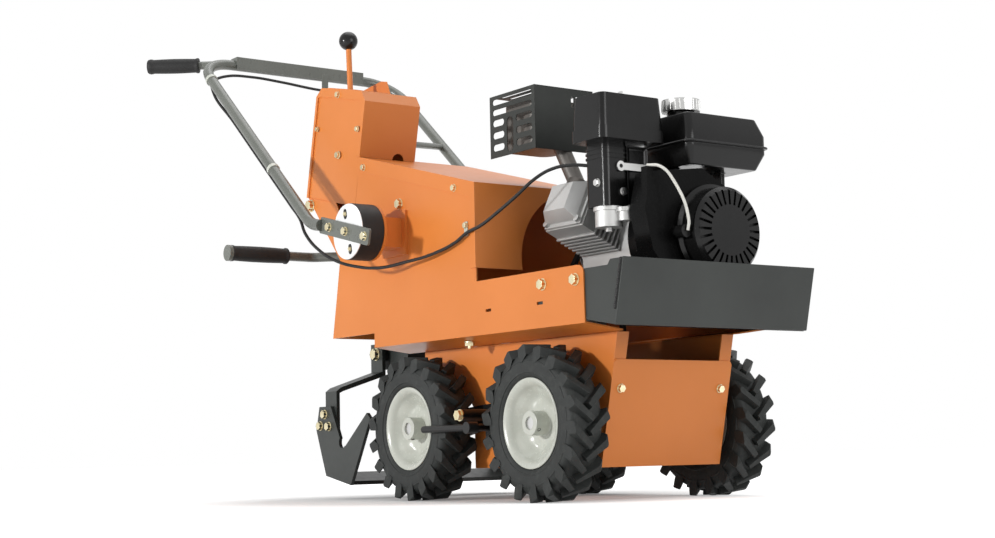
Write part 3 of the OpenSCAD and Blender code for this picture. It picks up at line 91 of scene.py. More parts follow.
def spot(x, y, z):
    """A place given in millimetres from the front axle, in the frame of the solids."""
    return Vector((x, y, z)) * MM - MID


def place_camera():
    level = math.cos(CAMERA_PITCH)
    look = Vector((level * math.cos(CAMERA_YAW), level * math.sin(CAMERA_YAW), math.sin(CAMERA_PITCH)))
    right = look.cross(UP).normalized()
    above = right.cross(look)
    rolled_right = math.cos(CAMERA_ROLL) * right + math.sin(CAMERA_ROLL) * above
    rolled_up = math.cos(CAMERA_ROLL) * above - math.sin(CAMERA_ROLL) * right
    data = bpy.data.cameras.new("photo_camera")
    data.sensor_fit = "HORIZONTAL"
    data.sensor_width = SENSOR_WIDTH
    data.lens = SENSOR_WIDTH * FOCAL_PX / PHOTO_WIDTH_PX
    data.clip_end = FAR_CLIP
    camera = bpy.data.objects.new("photo_camera", data)
    bpy.context.scene.collection.objects.link(camera)
    turn = Matrix((rolled_right, rolled_up, -look)).transposed().to_4x4()
    camera.matrix_world = Matrix.Translation(spot(*CAMERA_AT)) @ turn
    bpy.context.scene.camera = camera
    return camera


camera = place_camera()
print("camera at", [round(v, 3) for v in camera.location])

# %% [markdown]
# ## Light and floor
# The photograph is a studio cut-out: white all round, with the right side of the machine lit
# hard and almost level, so that the handle mounts and the cable throw crisp shadows on the panel,
# while the front stays a shade deeper. One small strong lamp stands low on the right, weak wide ones
# in front and above, and the white world fills the rest. The floor adds white of its own for the
# camera and for reflections, more of it further out, so that it melts into the background but still
# takes a shadow near the wheels.

# %% Node helpers
def add_node(tree, kind, operation=None, **constants):
    """A shader node with the constants on its sockets: from_min=0.4 sets the socket From Min."""
    node = tree.nodes.new("ShaderNode" + kind)
    if operation:
        node.operation = operation
    for name, value in constants.items():
        node.inputs[name.replace("_", " ").title()].default_value = value
    return node


def seen_rays(tree):
    """A socket that is 1 for rays from the camera, also by way of a reflection or through glass."""
    path = add_node(tree, "LightPath")
    seen = path.outputs["Is Camera Ray"]
    for kind in ("Is Glossy Ray", "Is Transmission Ray"):
        either = add_node(tree, "Math", "MAXIMUM")
        tree.links.new(seen, either.inputs[0])
        tree.links.new(path.outputs[kind], either.inputs[1])
        seen = either.outputs[0]
    return seen


# %% Light and floor
WHITE, FLOOR_GREY = (1, 1, 1, 1), (0.8, 0.8, 0.8, 1)
BACKDROP, FILL = 1.0, 0.38
FLOOR_HALF = 20.0
GLOW_START, GLOW_END, GLOW_NEAR, GLOW_FAR = 0.4, 0.85, 0.12, 0.8


def white_world():
    world = bpy.data.worlds.new("white_studio")
    bpy.context.scene.world = world
    world.use_nodes = True
    tree = world.node_tree
    tree.nodes.clear()
    out = add_node(tree, "OutputWorld")
    fill = add_node(tree, "Background", strength=FILL, color=WHITE)
    backdrop = add_node(tree, "Background", strength=BACKDROP, color=WHITE)
    mix = add_node(tree, "MixShader")
    tree.links.new(seen_rays(tree), mix.inputs[0])
    tree.links.new(fill.outputs[0], mix.inputs[1])
    tree.links.new(backdrop.outputs[0], mix.inputs[2])
    tree.links.new(mix.outputs[0], out.inputs["Surface"])


def lamp(name, at, target, size, power):
    """A square area lamp that looks at a target."""
    data = bpy.data.lights.new(name, "AREA")
    data.shape = "SQUARE"
    data.size = size
    data.energy = power
    obj = bpy.data.objects.new(name, data)
    bpy.context.scene.collection.objects.link(obj)
    obj.location = at
    obj.rotation_euler = (Vector(target) - Vector(at)).to_track_quat("-Z", "Y").to_euler()


def floor_paint():
    mat = bpy.data.materials.new("studio_white")
    mat.use_nodes = True
    tree = mat.node_tree
    tree.nodes.clear()
    out = add_node(tree, "OutputMaterial")
    paint = add_node(tree, "BsdfDiffuse", color=FLOOR_GREY)
    coords = add_node(tree, "TexCoord")
    distance = add_node(tree, "VectorMath", "LENGTH")
    fade = add_node(tree, "MapRange", from_min=GLOW_START, from_max=GLOW_END,
                    to_min=GLOW_NEAR, to_max=GLOW_FAR)
    strength = add_node(tree, "Math", "MULTIPLY")
    glow = add_node(tree, "Emission")
    both = add_node(tree, "AddShader")
    tree.links.new(coords.outputs["Object"], distance.inputs[0])
    tree.links.new(distance.outputs["Value"], fade.inputs["Value"])
    tree.links.new(seen_rays(tree), strength.inputs[0])
    tree.links.new(fade.outputs["Result"], strength.inputs[1])
    tree.links.new(strength.outputs[0], glow.inputs["Strength"])
    tree.links.new(paint.outputs[0], both.inputs[0])
    tree.links.new(glow.outputs[0], both.inputs[1])
    tree.links.new(both.outputs[0], out.inputs["Surface"])
    return mat


def studio_floor():
    mesh = bpy.data.meshes.new("studio_floor")
    bm = bmesh.new()
    bmesh.ops.create_grid(bm, x_segments=1, y_segments=1, size=FLOOR_HALF)
    bm.to_mesh(mesh)
    bm.free()
    floor = bpy.data.objects.new("studio_floor", mesh)
    bpy.context.scene.collection.objects.link(floor)
    mesh.materials.append(floor_paint())


bpy.context.scene.view_settings.view_transform = "Standard"
white_world()
studio_floor()
lamp("key_lamp", at=(-0.25, -4.3, 1.05), target=(0.0, 0.0, 0.5), size=0.3, power=126.0)
lamp("front_softbox", at=(4.2, 0.6, 1.3), target=(0.3, 0.0, 0.45), size=2.0, power=60.0)
lamp("top_softbox", at=(-0.2, 0.4, 3.8), target=(0.0, 0.0, 0.4), size=3.0, power=60.0)

# %% [markdown]
# ## Finishes
# Every finish is built from nodes on Object coordinates. Broad noise shifts the colour, a finer
# one changes the roughness, and the finest one lifts a bump, each at the scale of the real thing:
# orange peel in powder coat, grain in moulded plastic, sand texture in castings. Dust, where there
# is some, lies in patches of its own.

# %% Finish helper
COLOUR_SPREAD = (0.3, 0.7)
DUST_FROM, DUST_TO, DUST_SCALE = 0.52, 0.72, 5.0
ROUGH_SCALE = 12.0
BUMP_HEIGHT = 0.0006


def finish(name, low, high, rough, metal=0.0, patch=6.0, grain=900.0, bump=0.05, gloss=0.5, dust=None):
    mat = bpy.data.materials.new(name)
    mat.use_nodes = True
    tree = mat.node_tree
    shader = tree.nodes["Principled BSDF"]
    coords = add_node(tree, "TexCoord")

    def noise(scale, detail):
        cloud = add_node(tree, "TexNoise", scale=scale, detail=detail)
        tree.links.new(coords.outputs["Object"], cloud.inputs["Vector"])
        return cloud.outputs["Fac"]

    ramp = add_node(tree, "ValToRGB")
    for stop, position, tone in zip(ramp.color_ramp.elements, COLOUR_SPREAD, (low, high)):
        stop.position = position
        stop.color = (*tone, 1)
    tree.links.new(noise(patch, detail=5.0), ramp.inputs["Fac"])
    colour = ramp.outputs["Color"]
    if dust:
        amount, tint = dust
        where = add_node(tree, "MapRange", from_min=DUST_FROM, from_max=DUST_TO, to_max=amount)
        tree.links.new(noise(patch * DUST_SCALE, detail=8.0), where.inputs["Value"])
        mix = add_node(tree, "Mix")
        mix.data_type = "RGBA"
        mix.inputs["B"].default_value = (*tint, 1)
        tree.links.new(where.outputs["Result"], mix.inputs["Factor"])
        tree.links.new(colour, mix.inputs["A"])
        colour = mix.outputs["Result"]
    tree.links.new(colour, shader.inputs["Base Color"])
    span = add_node(tree, "MapRange", to_min=rough[0], to_max=rough[1])
    tree.links.new(noise(patch * ROUGH_SCALE, detail=3.0), span.inputs["Value"])
    tree.links.new(span.outputs["Result"], shader.inputs["Roughness"])
    lift = add_node(tree, "Bump", strength=bump, distance=BUMP_HEIGHT)
    tree.links.new(noise(grain, detail=2.0), lift.inputs["Height"])
    tree.links.new(lift.outputs["Normal"], shader.inputs["Normal"])
    shader.inputs["Metallic"].default_value = metal
    shader.inputs["Specular IOR Level"].default_value = gloss
    return mat


# %% [markdown]
# The orange is a powder coat, slightly wavy and half glossy. The dark deck, the handle and the
# blade are satin paints. Plastics are grainy, tyres dusty, castings sandy, and the yellow zinc on
# the bolts drifts between straw and cream.

# %% The finishes themselves
FINISH = {
    "orange paint": finish("orange_powder_coat", (0.61, 0.183, 0.031), (0.67, 0.207, 0.041), (0.32, 0.44),
                           patch=4.0, grain=700.0, bump=0.06, gloss=0.4),
    "dark paint": finish("dark_deck_paint", (0.021, 0.024, 0.022), (0.032, 0.036, 0.033), (0.34, 0.5),
                         grain=800.0, bump=0.08, gloss=0.35),
    "black plastic": finish("black_moulding", (0.004, 0.004, 0.004), (0.008, 0.008, 0.008), (0.18, 0.3),
                            grain=1600.0, bump=0.06, gloss=0.27),
    "black paint": finish("black_chassis_paint", (0.005, 0.005, 0.005), (0.010, 0.010, 0.010), (0.3, 0.45),
                          bump=0.06, gloss=0.3),
    "bright steel": finish("machined_steel", (0.50, 0.50, 0.49), (0.60, 0.60, 0.59), (0.25, 0.4),
                           metal=1.0, grain=1200.0),
    "grey tube": finish("grey_tube_paint", (0.105, 0.112, 0.098), (0.140, 0.148, 0.130), (0.22, 0.36)),
    "zinc hardware": finish("yellow_zinc", (0.66, 0.56, 0.34), (0.78, 0.72, 0.50), (0.22, 0.36),
                            metal=1.0, patch=60.0, bump=0.04),
    "rim paint": finish("rim_moulding", (0.46, 0.475, 0.42), (0.52, 0.535, 0.48), (0.20, 0.32),
                        patch=9.0, bump=0.03, dust=(0.15, (0.36, 0.34, 0.28))),
    "cast alloy": finish("sand_cast_alloy", (0.46, 0.46, 0.45), (0.58, 0.58, 0.57), (0.42, 0.6),
                         metal=0.6, grain=1400.0, bump=0.22),
    "chrome": finish("plated_cap", (0.46, 0.46, 0.45), (0.56, 0.56, 0.55), (0.20, 0.32),
                     metal=1.0, bump=0.03),
    "rubber": finish("moulded_rubber", (0.008, 0.008, 0.008), (0.015, 0.015, 0.015), (0.5, 0.68),
                     grain=1500.0, bump=0.12, gloss=0.3),
    "rope": finish("braided_cord", (0.66, 0.65, 0.60), (0.78, 0.77, 0.72), (0.6, 0.8),
                   patch=400.0, grain=2200.0, bump=0.4),
    "tyre": finish("tyre_rubber", (0.013, 0.015, 0.014), (0.021, 0.023, 0.022), (0.50, 0.72),
                   patch=14.0, grain=1100.0, bump=0.2, gloss=0.3, dust=(0.30, (0.055, 0.060, 0.055))),
}
for name, obj in nodes.items():
    obj.data.materials.clear()
    obj.data.materials.append(FINISH[slot_of[name]])
print("finishes:", len(FINISH))

# %% [markdown]
# ## Soft edges
# Solids have knife edges, and no real edge is that sharp: sheet metal is bent over a radius and
# castings are rounded in the mould. A copy of a solid is welded, its flat triangles are joined into
# whole faces, and its hard edges get a small bevel. The copy then stands for the solid.

# %% Piece helpers
SMOOTH_ANGLE = math.radians(32)
SAME_POINT = 1e-6


def new_piece(name, bm, body, slot, material=None):
    """Turn a shape into an object that rides a body. Its material is its slot's own, or another."""
    mesh = bpy.data.meshes.new(name)
    bm.to_mesh(mesh)
    bm.free()
    obj = bpy.data.objects.new(name, mesh)
    bpy.context.scene.collection.objects.link(obj)
    mesh.materials.append(material or FINISH[slot])
    for face in mesh.polygons:
        face.use_smooth = True
    mesh.set_sharp_from_angle(angle=SMOOTH_ANGLE)
    even = obj.modifiers.new("even_normals", "WEIGHTED_NORMAL")
    even.keep_sharp = True
    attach(obj, body)
    return obj


def pour(one, bm):
    """Add one shape to another, and free it."""
    held = bpy.data.meshes.new("held")
    one.to_mesh(held)
    one.free()
    bm.from_mesh(held)
    bpy.data.meshes.remove(held)


def round_off(bm, edges, width, segments=2):
    bmesh.ops.bevel(bm, geom=edges, offset=width, offset_type="OFFSET", segments=segments, profile=0.5,
                    affect="EDGES", clamp_overlap=True, material=-1)


def thicken(bm, vec):
    """Extrude the flat face that a shape has so far."""
    grown = bmesh.ops.extrude_face_region(bm, geom=list(bm.faces))["geom"]
    moved = [v for v in grown if isinstance(v, bmesh.types.BMVert)]
    bmesh.ops.translate(bm, verts=moved, vec=vec)


def stub(bm, sides, low_r, top_r, height):
    """A short rod along z with the origin in its middle."""
    return bmesh.ops.create_cone(bm, cap_ends=True, segments=sides, radius1=low_r, radius2=top_r,
                                 depth=height)["verts"]


def aim(at, direction):
    """The matrix that turns the z axis in a direction and moves the origin to a place."""
    turn = UP.rotation_difference(Vector(direction).normalized())
    return Matrix.Translation(at) @ turn.to_matrix().to_4x4()


# %% Soft copies
SHEET_EDGE, PLATE_EDGE, CAST_EDGE, MOULD_EDGE = 0.0008, 0.0012, 0.0022, 0.0032
FLAT_ANGLE, HARD_ANGLE = math.radians(0.6), math.radians(38)
SOFT = {
    SHEET_EDGE: ("right_side_panel", "left_side_panel", "rear_panel", "housing_wall", "belt_cover",
                 "lever_gate", "front_panel", "control_bail"),
    PLATE_EDGE: ("engine_deck", "right_chassis_wall", "left_chassis_wall", "isolator_brackets",
                 "isolator_plates", "depth_bracket", "blade", "blade_arms", "chassis_floor"),
    CAST_EDGE: ("engine_block", "valve_cover", "fan_shroud", "blade_gearbox", "gearbox",
                "rubber_isolators", "carburettor", "muffler", "fuel_cap", "depth_lock_lever"),
    MOULD_EDGE: ("fuel_tank", "air_cleaner", "recoil_cover"),
}


def soft_copy(node, width):
    bm = bmesh.new()
    bm.from_mesh(nodes[node].data)
    bmesh.ops.remove_doubles(bm, verts=bm.verts, dist=2 * SAME_POINT)
    bmesh.ops.dissolve_limit(bm, angle_limit=FLAT_ANGLE, verts=bm.verts, edges=bm.edges)
    inner = [e for e in bm.edges if len(e.link_faces) == 2]
    round_off(bm, [e for e in inner if e.calc_face_angle(0) > HARD_ANGLE], width)
    piece = new_piece(node + "_soft", bm, body_of[node], slot_of[node])
    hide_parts(node)
    return piece


soft = {name: soft_copy(name, width) for width, names in SOFT.items() for name in names}
OWN_FINISH = {
    "isolator_plates": finish("bright_zinc_plate", (0.80, 0.81, 0.81), (0.88, 0.89, 0.89), (0.3, 0.45),
                              metal=0.4, patch=30.0),
    "muffler": finish("scorched_steel", (0.10, 0.095, 0.09), (0.17, 0.155, 0.14), (0.4, 0.6),
                      metal=0.8, patch=18.0, bump=0.1),
    "fan_shroud": finish("deep_black_shroud", (0.0025, 0.0025, 0.0025), (0.005, 0.005, 0.005), (0.2, 0.34),
                         grain=1500.0, bump=0.06, gloss=0.07),
}
for name, material in OWN_FINISH.items():
    soft[name].data.materials[0] = material
print("softened:", len(soft))

# %% [markdown]
# ## Tyres
# The tyres are farm-tread tyres: two rows of slanted bars that meet in staggered vees. The carcass
# is one profile spun round the axle, with two raised rings on the sidewall. One bar is drawn from its
# side, given a width, slanted, cut off flush with the sidewall, bevelled and bent round the wheel, and
# then turned into a row of copies. Each wheel is made lying on its side and then stood on its axle.

# %% Wheel helpers
AXLES = {"front": 0.0, "rear": -434.0}
WHEEL_Y, AXLE_Z = 215.0, 152.5
WHEEL_STEPS = 96


def spin_round(bm, points, steps, closed=True):
    """Spin a line through (radius, height) points round z. A closed line comes back to its start."""
    verts = [bm.verts.new((r, 0, a)) for r, a in points]
    ends = verts[1:] + verts[:1] if closed else verts[1:]
    edges = [bm.edges.new(pair) for pair in zip(verts, ends)]
    bmesh.ops.spin(bm, geom=verts + edges, axis=UP, cent=(0, 0, 0), angle=2 * math.pi, steps=steps,
                   use_merge=True)
    bmesh.ops.remove_doubles(bm, verts=bm.verts, dist=SAME_POINT)


def wheel_pair(name, node, end, slot, shape):
    """Stand a shape and its mirror image on both ends of an axle, as one piece."""
    bm = bmesh.new()
    for side in (-1, 1):
        one = shape()
        stand = Matrix.Rotation(math.radians(90), 4, "X")
        if side > 0:
            stand = Matrix.Scale(-1, 4, (0, 1, 0)) @ stand
            bmesh.ops.reverse_faces(one, faces=one.faces)
        place = Matrix.Translation(spot(AXLES[end], side * WHEEL_Y, AXLE_Z))
        bmesh.ops.transform(one, matrix=place @ stand, verts=one.verts)
        pour(one, bm)
    piece = new_piece(name, bm, end + "_wheels", slot)
    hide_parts(node)


# %% Tyre shapes
TYRE_R, CORE_R = 0.1525, 0.1385
LUGS, LUG_W, LUG_SLANT = 18, 0.0178, math.radians(-40)
LUG_NOSE, LUG_TOP, LUG_FOOT = 0.60, 0.86, 1.25
FOOT_SHARE, LUG_SPARE, FIRST_LUG = 0.65, 0.001, math.radians(270)
LUG_EDGE, LUG_ROOT, LUG_SKIRT = 0.0011, 0.006, 0.020
PAD_HALF = 0.0412
SIDEWALL = [(0.0763, 0.0270), (0.0792, 0.0300), (0.0870, 0.0318), (0.0886, 0.0320), (0.0905, 0.0340),
            (0.0945, 0.0368), (0.0968, 0.0372), (0.0978, 0.0388), (0.1002, 0.0390), (0.1012, 0.0385),
            (0.1080, 0.0396), (0.1160, 0.0399), (0.1200, 0.0396), (0.1208, 0.0402), (0.1228, 0.0400),
            (0.1236, 0.0390), (0.1290, 0.0375), (0.1340, 0.0342), (0.1372, 0.0290), (0.1384, 0.0230)]
INNER_WALL = [(0.1290, 0.0265), (0.1165, 0.0300), (0.0960, 0.0280), (0.0763, 0.0180)]
CROWN = (0.1388, 0.0)


def carcass(bm):
    loop = SIDEWALL + [CROWN] + [(r, -a) for r, a in reversed(SIDEWALL)]
    loop += [(r, -a) for r, a in reversed(INNER_WALL)] + INNER_WALL
    spin_round(bm, loop, WHEEL_STEPS)
    bmesh.ops.recalc_face_normals(bm, faces=bm.faces)


def lug(reach):
    """One bar from the middle of the tread out to the shoulder, bent round the wheel."""
    bm = bmesh.new()
    foot, low = CORE_R - LUG_ROOT, CORE_R - LUG_SKIRT
    outline = [(foot, -0.005), (TYRE_R, -0.004), (TYRE_R, reach - 0.014), (TYRE_R - 0.007, reach - 0.003),
               (low, reach), (low, reach - 0.010), (foot, reach - 0.022)]
    bm.faces.new([bm.verts.new((r, -LUG_W / 2, a)) for r, a in outline])
    thicken(bm, (0, LUG_W, 0))
    for v in bm.verts:
        at_top, at_middle = v.co.x > TYRE_R - 0.001, v.co.z < 0.004
        v.co.y *= (LUG_NOSE if at_middle else LUG_TOP) if at_top else LUG_FOOT
    bmesh.ops.rotate(bm, verts=bm.verts, cent=(0, 0, 0), matrix=Matrix.Rotation(LUG_SLANT, 3, "X"))
    bmesh.ops.bisect_plane(bm, geom=list(bm.verts) + list(bm.edges) + list(bm.faces),
                           plane_co=(0, 0, PAD_HALF), plane_no=(0, 0, 1), clear_outer=True)
    bmesh.ops.holes_fill(bm, edges=[e for e in bm.edges if e.is_boundary], sides=0)
    bmesh.ops.recalc_face_normals(bm, faces=bm.faces)
    round_off(bm, list(bm.edges), LUG_EDGE)
    for v in bm.verts:
        angle, r = v.co.y / TYRE_R, v.co.x
        v.co.x, v.co.y = r * math.cos(angle), r * math.sin(angle)
    return bm


def lug_row(sign):
    """The bars on one half of the tread. The other half is mirrored and half a step further on."""
    # A bar is drawn long enough that, slanted, its wide foot passes the pad's edge on both sides.
    half_foot = LUG_W * FOOT_SHARE
    reach = (PAD_HALF + half_foot * abs(math.sin(LUG_SLANT))) / math.cos(LUG_SLANT) + LUG_SPARE
    bm = lug(reach)
    faces, edges, corners = list(bm.faces), list(bm.edges), list(bm.verts)
    turn = FIRST_LUG + reach / 2 * math.sin(LUG_SLANT) / TYRE_R
    if sign < 0:
        bmesh.ops.scale(bm, verts=corners, vec=(1, 1, -1))
        bmesh.ops.reverse_faces(bm, faces=faces)
        turn += math.pi / LUGS
    bmesh.ops.rotate(bm, verts=corners, cent=(0, 0, 0), matrix=Matrix.Rotation(turn, 3, "Z"))
    for i in range(1, LUGS):
        twin = bmesh.ops.duplicate(bm, geom=corners + edges + faces)["geom"]
        bmesh.ops.rotate(bm, verts=[v for v in twin if isinstance(v, bmesh.types.BMVert)], cent=(0, 0, 0),
                         matrix=Matrix.Rotation(2 * math.pi * i / LUGS, 3, "Z"))
    return bm


def tyre():
    bm = bmesh.new()
    carcass(bm)
    for sign in (1, -1):
        pour(lug_row(sign), bm)
    return bm


for end in AXLES:
    wheel_pair(end + "_lug_tyres", end + "_tyres", end, "tyre", tyre)
print("lugs on a tyre:", 2 * LUGS)

# %% [markdown]
# ## Rims
# The rims are moulded in one piece: a thin lip, a deep bowl, and a web with soft knuckles where it
# meets the bowl. The outline is spun once, and then the bowl's inner rings are pushed in and out in
# waves. A small set screw with a sunk top sits in the side of each hub.

# %% Rims
RIM_BOWL = [(0.0240, 0.0050), (0.0262, 0.0030), (0.0320, 0.0022), (0.0400, 0.0022), (0.0470, 0.0030),
            (0.0530, 0.0055), (0.0580, 0.0100), (0.0640, 0.0150), (0.0690, 0.0195), (0.0722, 0.0240),
            (0.0748, 0.0284), (0.0790, 0.0322), (0.0832, 0.0341), (0.0856, 0.0350)]
RIM_BACK = [(0.0725, -0.0345), (0.0725, -0.0215), (0.0585, -0.0135), (0.0585, -0.0040),
            (0.0505, -0.0030), (0.0440, -0.0022), (0.0240, -0.0015)]
RIM_SEAT = [(0.0870, 0.0350), (0.0880, 0.0342), (0.0880, 0.0330), (0.0868, 0.0324), (0.0790, 0.0306),
            (0.0760, 0.0280), (0.0760, 0.0180), (0.0620, 0.0100), (0.0620, -0.0120), (0.0760, -0.0200),
            (0.0760, -0.0310), (0.0872, -0.0310), (0.0880, -0.0318), (0.0880, -0.0345)]
RIM_HUB = [(0.0240, -0.0350), (0.0230, -0.0360), (0.0126, -0.0360), (0.0126, 0.0360), (0.0222, 0.0360),
           (0.0236, 0.0352), (0.0240, 0.0338)]
KNUCKLES, KNUCKLE_HEIGHT = 5, 0.0048
KNUCKLE_START, KNUCKLE_RUN, KNUCKLE_MARGIN = 0.036, 0.036, 0.002
SCREW_R, SCREW_H, SCREW_RIM, SCREW_Y, HUB_R = 0.0034, 0.0024, 0.0012, 243.0, 0.0236
SCREW_ANGLE = {"front": math.radians(-32), "rear": math.radians(-72)}


def rim():
    bm = bmesh.new()
    spin_round(bm, RIM_SEAT + RIM_BACK + RIM_HUB + RIM_BOWL, WHEEL_STEPS)
    for v in bm.verts:
        out = math.hypot(v.co.x, v.co.y) - KNUCKLE_START
        if KNUCKLE_MARGIN < out < KNUCKLE_RUN - KNUCKLE_MARGIN and v.co.z > 0:
            wave = math.cos(KNUCKLES * math.atan2(v.co.y, v.co.x))
            v.co.z += KNUCKLE_HEIGHT * math.sin(math.pi * out / KNUCKLE_RUN) * wave
    bmesh.ops.recalc_face_normals(bm, faces=bm.faces)
    return bm


def hub_screws(end):
    bm = bmesh.new()
    out = Vector((math.cos(SCREW_ANGLE[end]), 0, math.sin(SCREW_ANGLE[end])))
    for side in (-1, 1):
        one = bmesh.new()
        stub(one, 20, SCREW_R, SCREW_R, SCREW_H)
        top = [f for f in one.faces if f.normal.z > 0.9]
        bmesh.ops.inset_region(one, faces=top, thickness=SCREW_RIM, depth=-SCREW_RIM)
        seat = spot(AXLES[end], side * SCREW_Y, AXLE_Z) + out * HUB_R
        bmesh.ops.transform(one, matrix=aim(seat, out), verts=one.verts)
        pour(one, bm)
    new_piece(end + "_hub_screws", bm, end + "_wheels", "black paint")


for end in AXLES:
    wheel_pair(end + "_moulded_rims", end + "_rims", end, "rim paint", rim)
for end in AXLES:
    hub_screws(end)
print("knuckles in a rim:", KNUCKLES)

# %% [markdown]
# ## Silencer guard
# The guard is folded from sheet steel, with round-ended slots stamped through it. A flat curve is the
# easiest way to a plate with holes: one outline and one closed loop for each slot, given a thickness
# and a tiny bevel. It is made a mesh first and only then turned into its place.

# %% Silencer guard
GUARD_LOW, GUARD_HIGH = (Vector(corner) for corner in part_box("muffler_guard"))
GUARD_T, GUARD_EDGE, SLOT_MARGIN = 0.002, 0.0004, 0.010
LONG_SLOTS, LONG_SLOT_H = (0.112, 0.090), 0.012
SHORT_SLOTS, SHORT_SLOT_H, SHORT_SLOT_ENDS = (0.066, 0.040, 0.014), 0.014, (0.050, 0.092)
PIPE_SLOT = (0.060, 0.006, 0.082, 0.080)
LID_SLOTS, LID_FIRST, LID_STEP, LID_SLOT_W, LID_START, LID_STOP = 6, 0.018, 0.022, 0.010, 0.012, 0.140
VENTS, VENT_FIRST, VENT_STEP, VENT_W, VENT_LOW, VENT_TOP = 4, 0.095, 0.012, 0.007, 0.040, 0.016


def flat_loop(data, points):
    line = data.splines.new("POLY")
    line.points.add(len(points) - 1)
    for knot, (u, v) in zip(line.points, points):
        knot.co = (u, v, 0, 1)
    line.use_cyclic_u = True


def round_slot(u0, v0, u1, v1, steps=8):
    """A slot with half-round ends along u, or along v where it is taller than wide."""
    r = min(u1 - u0, v1 - v0) / 2
    mid_u, mid_v = (u0 + u1) / 2, (v0 + v1) / 2
    if v1 - v0 > u1 - u0:
        ends = [(mid_u, v1 - r, 0.0), (mid_u, v0 + r, math.pi)]
    else:
        ends = [(u1 - r, mid_v, -math.pi / 2), (u0 + r, mid_v, math.pi / 2)]
    turns = [math.pi * k / steps for k in range(steps + 1)]
    return [(u + r * math.cos(a + t), v + r * math.sin(a + t)) for u, v, a in ends for t in turns]


def slotted_plate(bm, outline, slots, place):
    data = bpy.data.curves.new("flat_plate", "CURVE")
    data.dimensions = "2D"
    data.fill_mode = "BOTH"
    data.extrude = GUARD_T / 2 - GUARD_EDGE
    data.bevel_depth = GUARD_EDGE
    data.bevel_resolution = 1
    data.offset = -GUARD_EDGE
    for loop in (outline, *slots):
        flat_loop(data, loop)
    obj = bpy.data.objects.new("flat_plate", data)
    bpy.context.scene.collection.objects.link(obj)
    mesh = bpy.data.meshes.new_from_object(obj.evaluated_get(bpy.context.evaluated_depsgraph_get()))
    mesh.transform(place)
    bm.from_mesh(mesh)
    bpy.data.objects.remove(obj)
    bpy.data.meshes.remove(mesh)


def guard():
    long, deep, tall = GUARD_HIGH - GUARD_LOW
    far = long - SLOT_MARGIN
    side = [round_slot(SLOT_MARGIN, z, far, z + LONG_SLOT_H) for z in LONG_SLOTS]
    for start, stop in ((SLOT_MARGIN, SHORT_SLOT_ENDS[0]), (SHORT_SLOT_ENDS[1], far)):
        side += [round_slot(start, z, stop, z + SHORT_SLOT_H) for z in SHORT_SLOTS]
    side.append(round_slot(*PIPE_SLOT))
    rows = [LID_FIRST + LID_STEP * i for i in range(LID_SLOTS)]
    lid = [round_slot(LID_START, v, LID_STOP, v + LID_SLOT_W) for v in rows]
    columns = [VENT_FIRST + VENT_STEP * i for i in range(VENTS)]
    front = [round_slot(u, tall - VENT_LOW, u + VENT_W, tall - VENT_TOP) for u in columns]
    half = GUARD_T / 2
    upright = Matrix.Rotation(math.radians(90), 4, "X")
    facing = Matrix.Rotation(math.radians(90), 4, "Z") @ upright
    bm = bmesh.new()
    slotted_plate(bm, [(0, 0), (long, 0), (long, tall), (0, tall)], side,
                  Matrix.Translation(GUARD_LOW + Vector((0, half, 0))) @ upright)
    slotted_plate(bm, [(0, GUARD_T), (long, GUARD_T), (long, deep), (0, deep)], lid,
                  Matrix.Translation(GUARD_LOW + Vector((0, 0, tall - half))))
    slotted_plate(bm, [(GUARD_T, 0), (deep, 0), (deep, tall - GUARD_T), (GUARD_T, tall - GUARD_T)], front,
                  Matrix.Translation(GUARD_LOW + Vector((long - half, 0, 0))) @ facing)
    bmesh.ops.remove_doubles(bm, verts=bm.verts, dist=SAME_POINT)
    grey = finish("guard_heat_paint", (0.027, 0.029, 0.027), (0.038, 0.041, 0.038), (0.45, 0.6),
                  patch=12.0, bump=0.1, gloss=0.2)
    piece = new_piece("slotted_guard", bm, "frame", "black paint", grey)
    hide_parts("muffler_guard")
    return len(side) + len(lid) + len(front)


print("guard slots:", guard())

# %% [markdown]
# ## Bolts
# Bright yellow bolts dot the orange panels. Each is a washer and a hexagon with its top edges turned
# off, and carries no marks. A place is given in millimetres, with the way that the head points and the
# bolt's size, to which all its parts keep their share.

# %% Bolts
WASHER_R, WASHER_H, WASHER_EDGE = 0.99, 0.2, 0.05
HEAD_R, HEAD_H, HEAD_MID, HEAD_EDGE = 0.88, 0.62, 0.5, 0.12
RIGHT, LEFT, FRONTWARD = (0, -1, 0), (0, 1, 0), (1, 0, 0)
FRONT_RAKE = math.radians(13)
RAKED = (math.cos(FRONT_RAKE), 0, -math.sin(FRONT_RAKE))


def upper_edges(verts, z):
    edges = {e for v in verts for e in v.link_edges}
    return [e for e in edges if all(v.co.z > z for v in e.verts)]


def bolt_shape(at, normal, size):
    bm = bmesh.new()
    washer = stub(bm, 32, size * WASHER_R, size * WASHER_R, size * WASHER_H)
    bmesh.ops.translate(bm, verts=washer, vec=(0, 0, size * WASHER_H / 2))
    head = stub(bm, 6, size * HEAD_R, size * HEAD_R, size * HEAD_H)
    bmesh.ops.translate(bm, verts=head, vec=(0, 0, size * HEAD_MID))
    round_off(bm, upper_edges(head, size * HEAD_MID), size * HEAD_EDGE)
    round_off(bm, upper_edges(washer, size * WASHER_H / 2), size * WASHER_EDGE, segments=1)
    bmesh.ops.transform(bm, matrix=aim(at, normal), verts=bm.verts)
    return bm


def bolts(name, body, places, slot="zinc hardware"):
    bm = bmesh.new()
    for x, y, z, normal, size in places:
        pour(bolt_shape(spot(x, y, z), normal, size * MM), bm)
    new_piece(name, bm, body, slot)


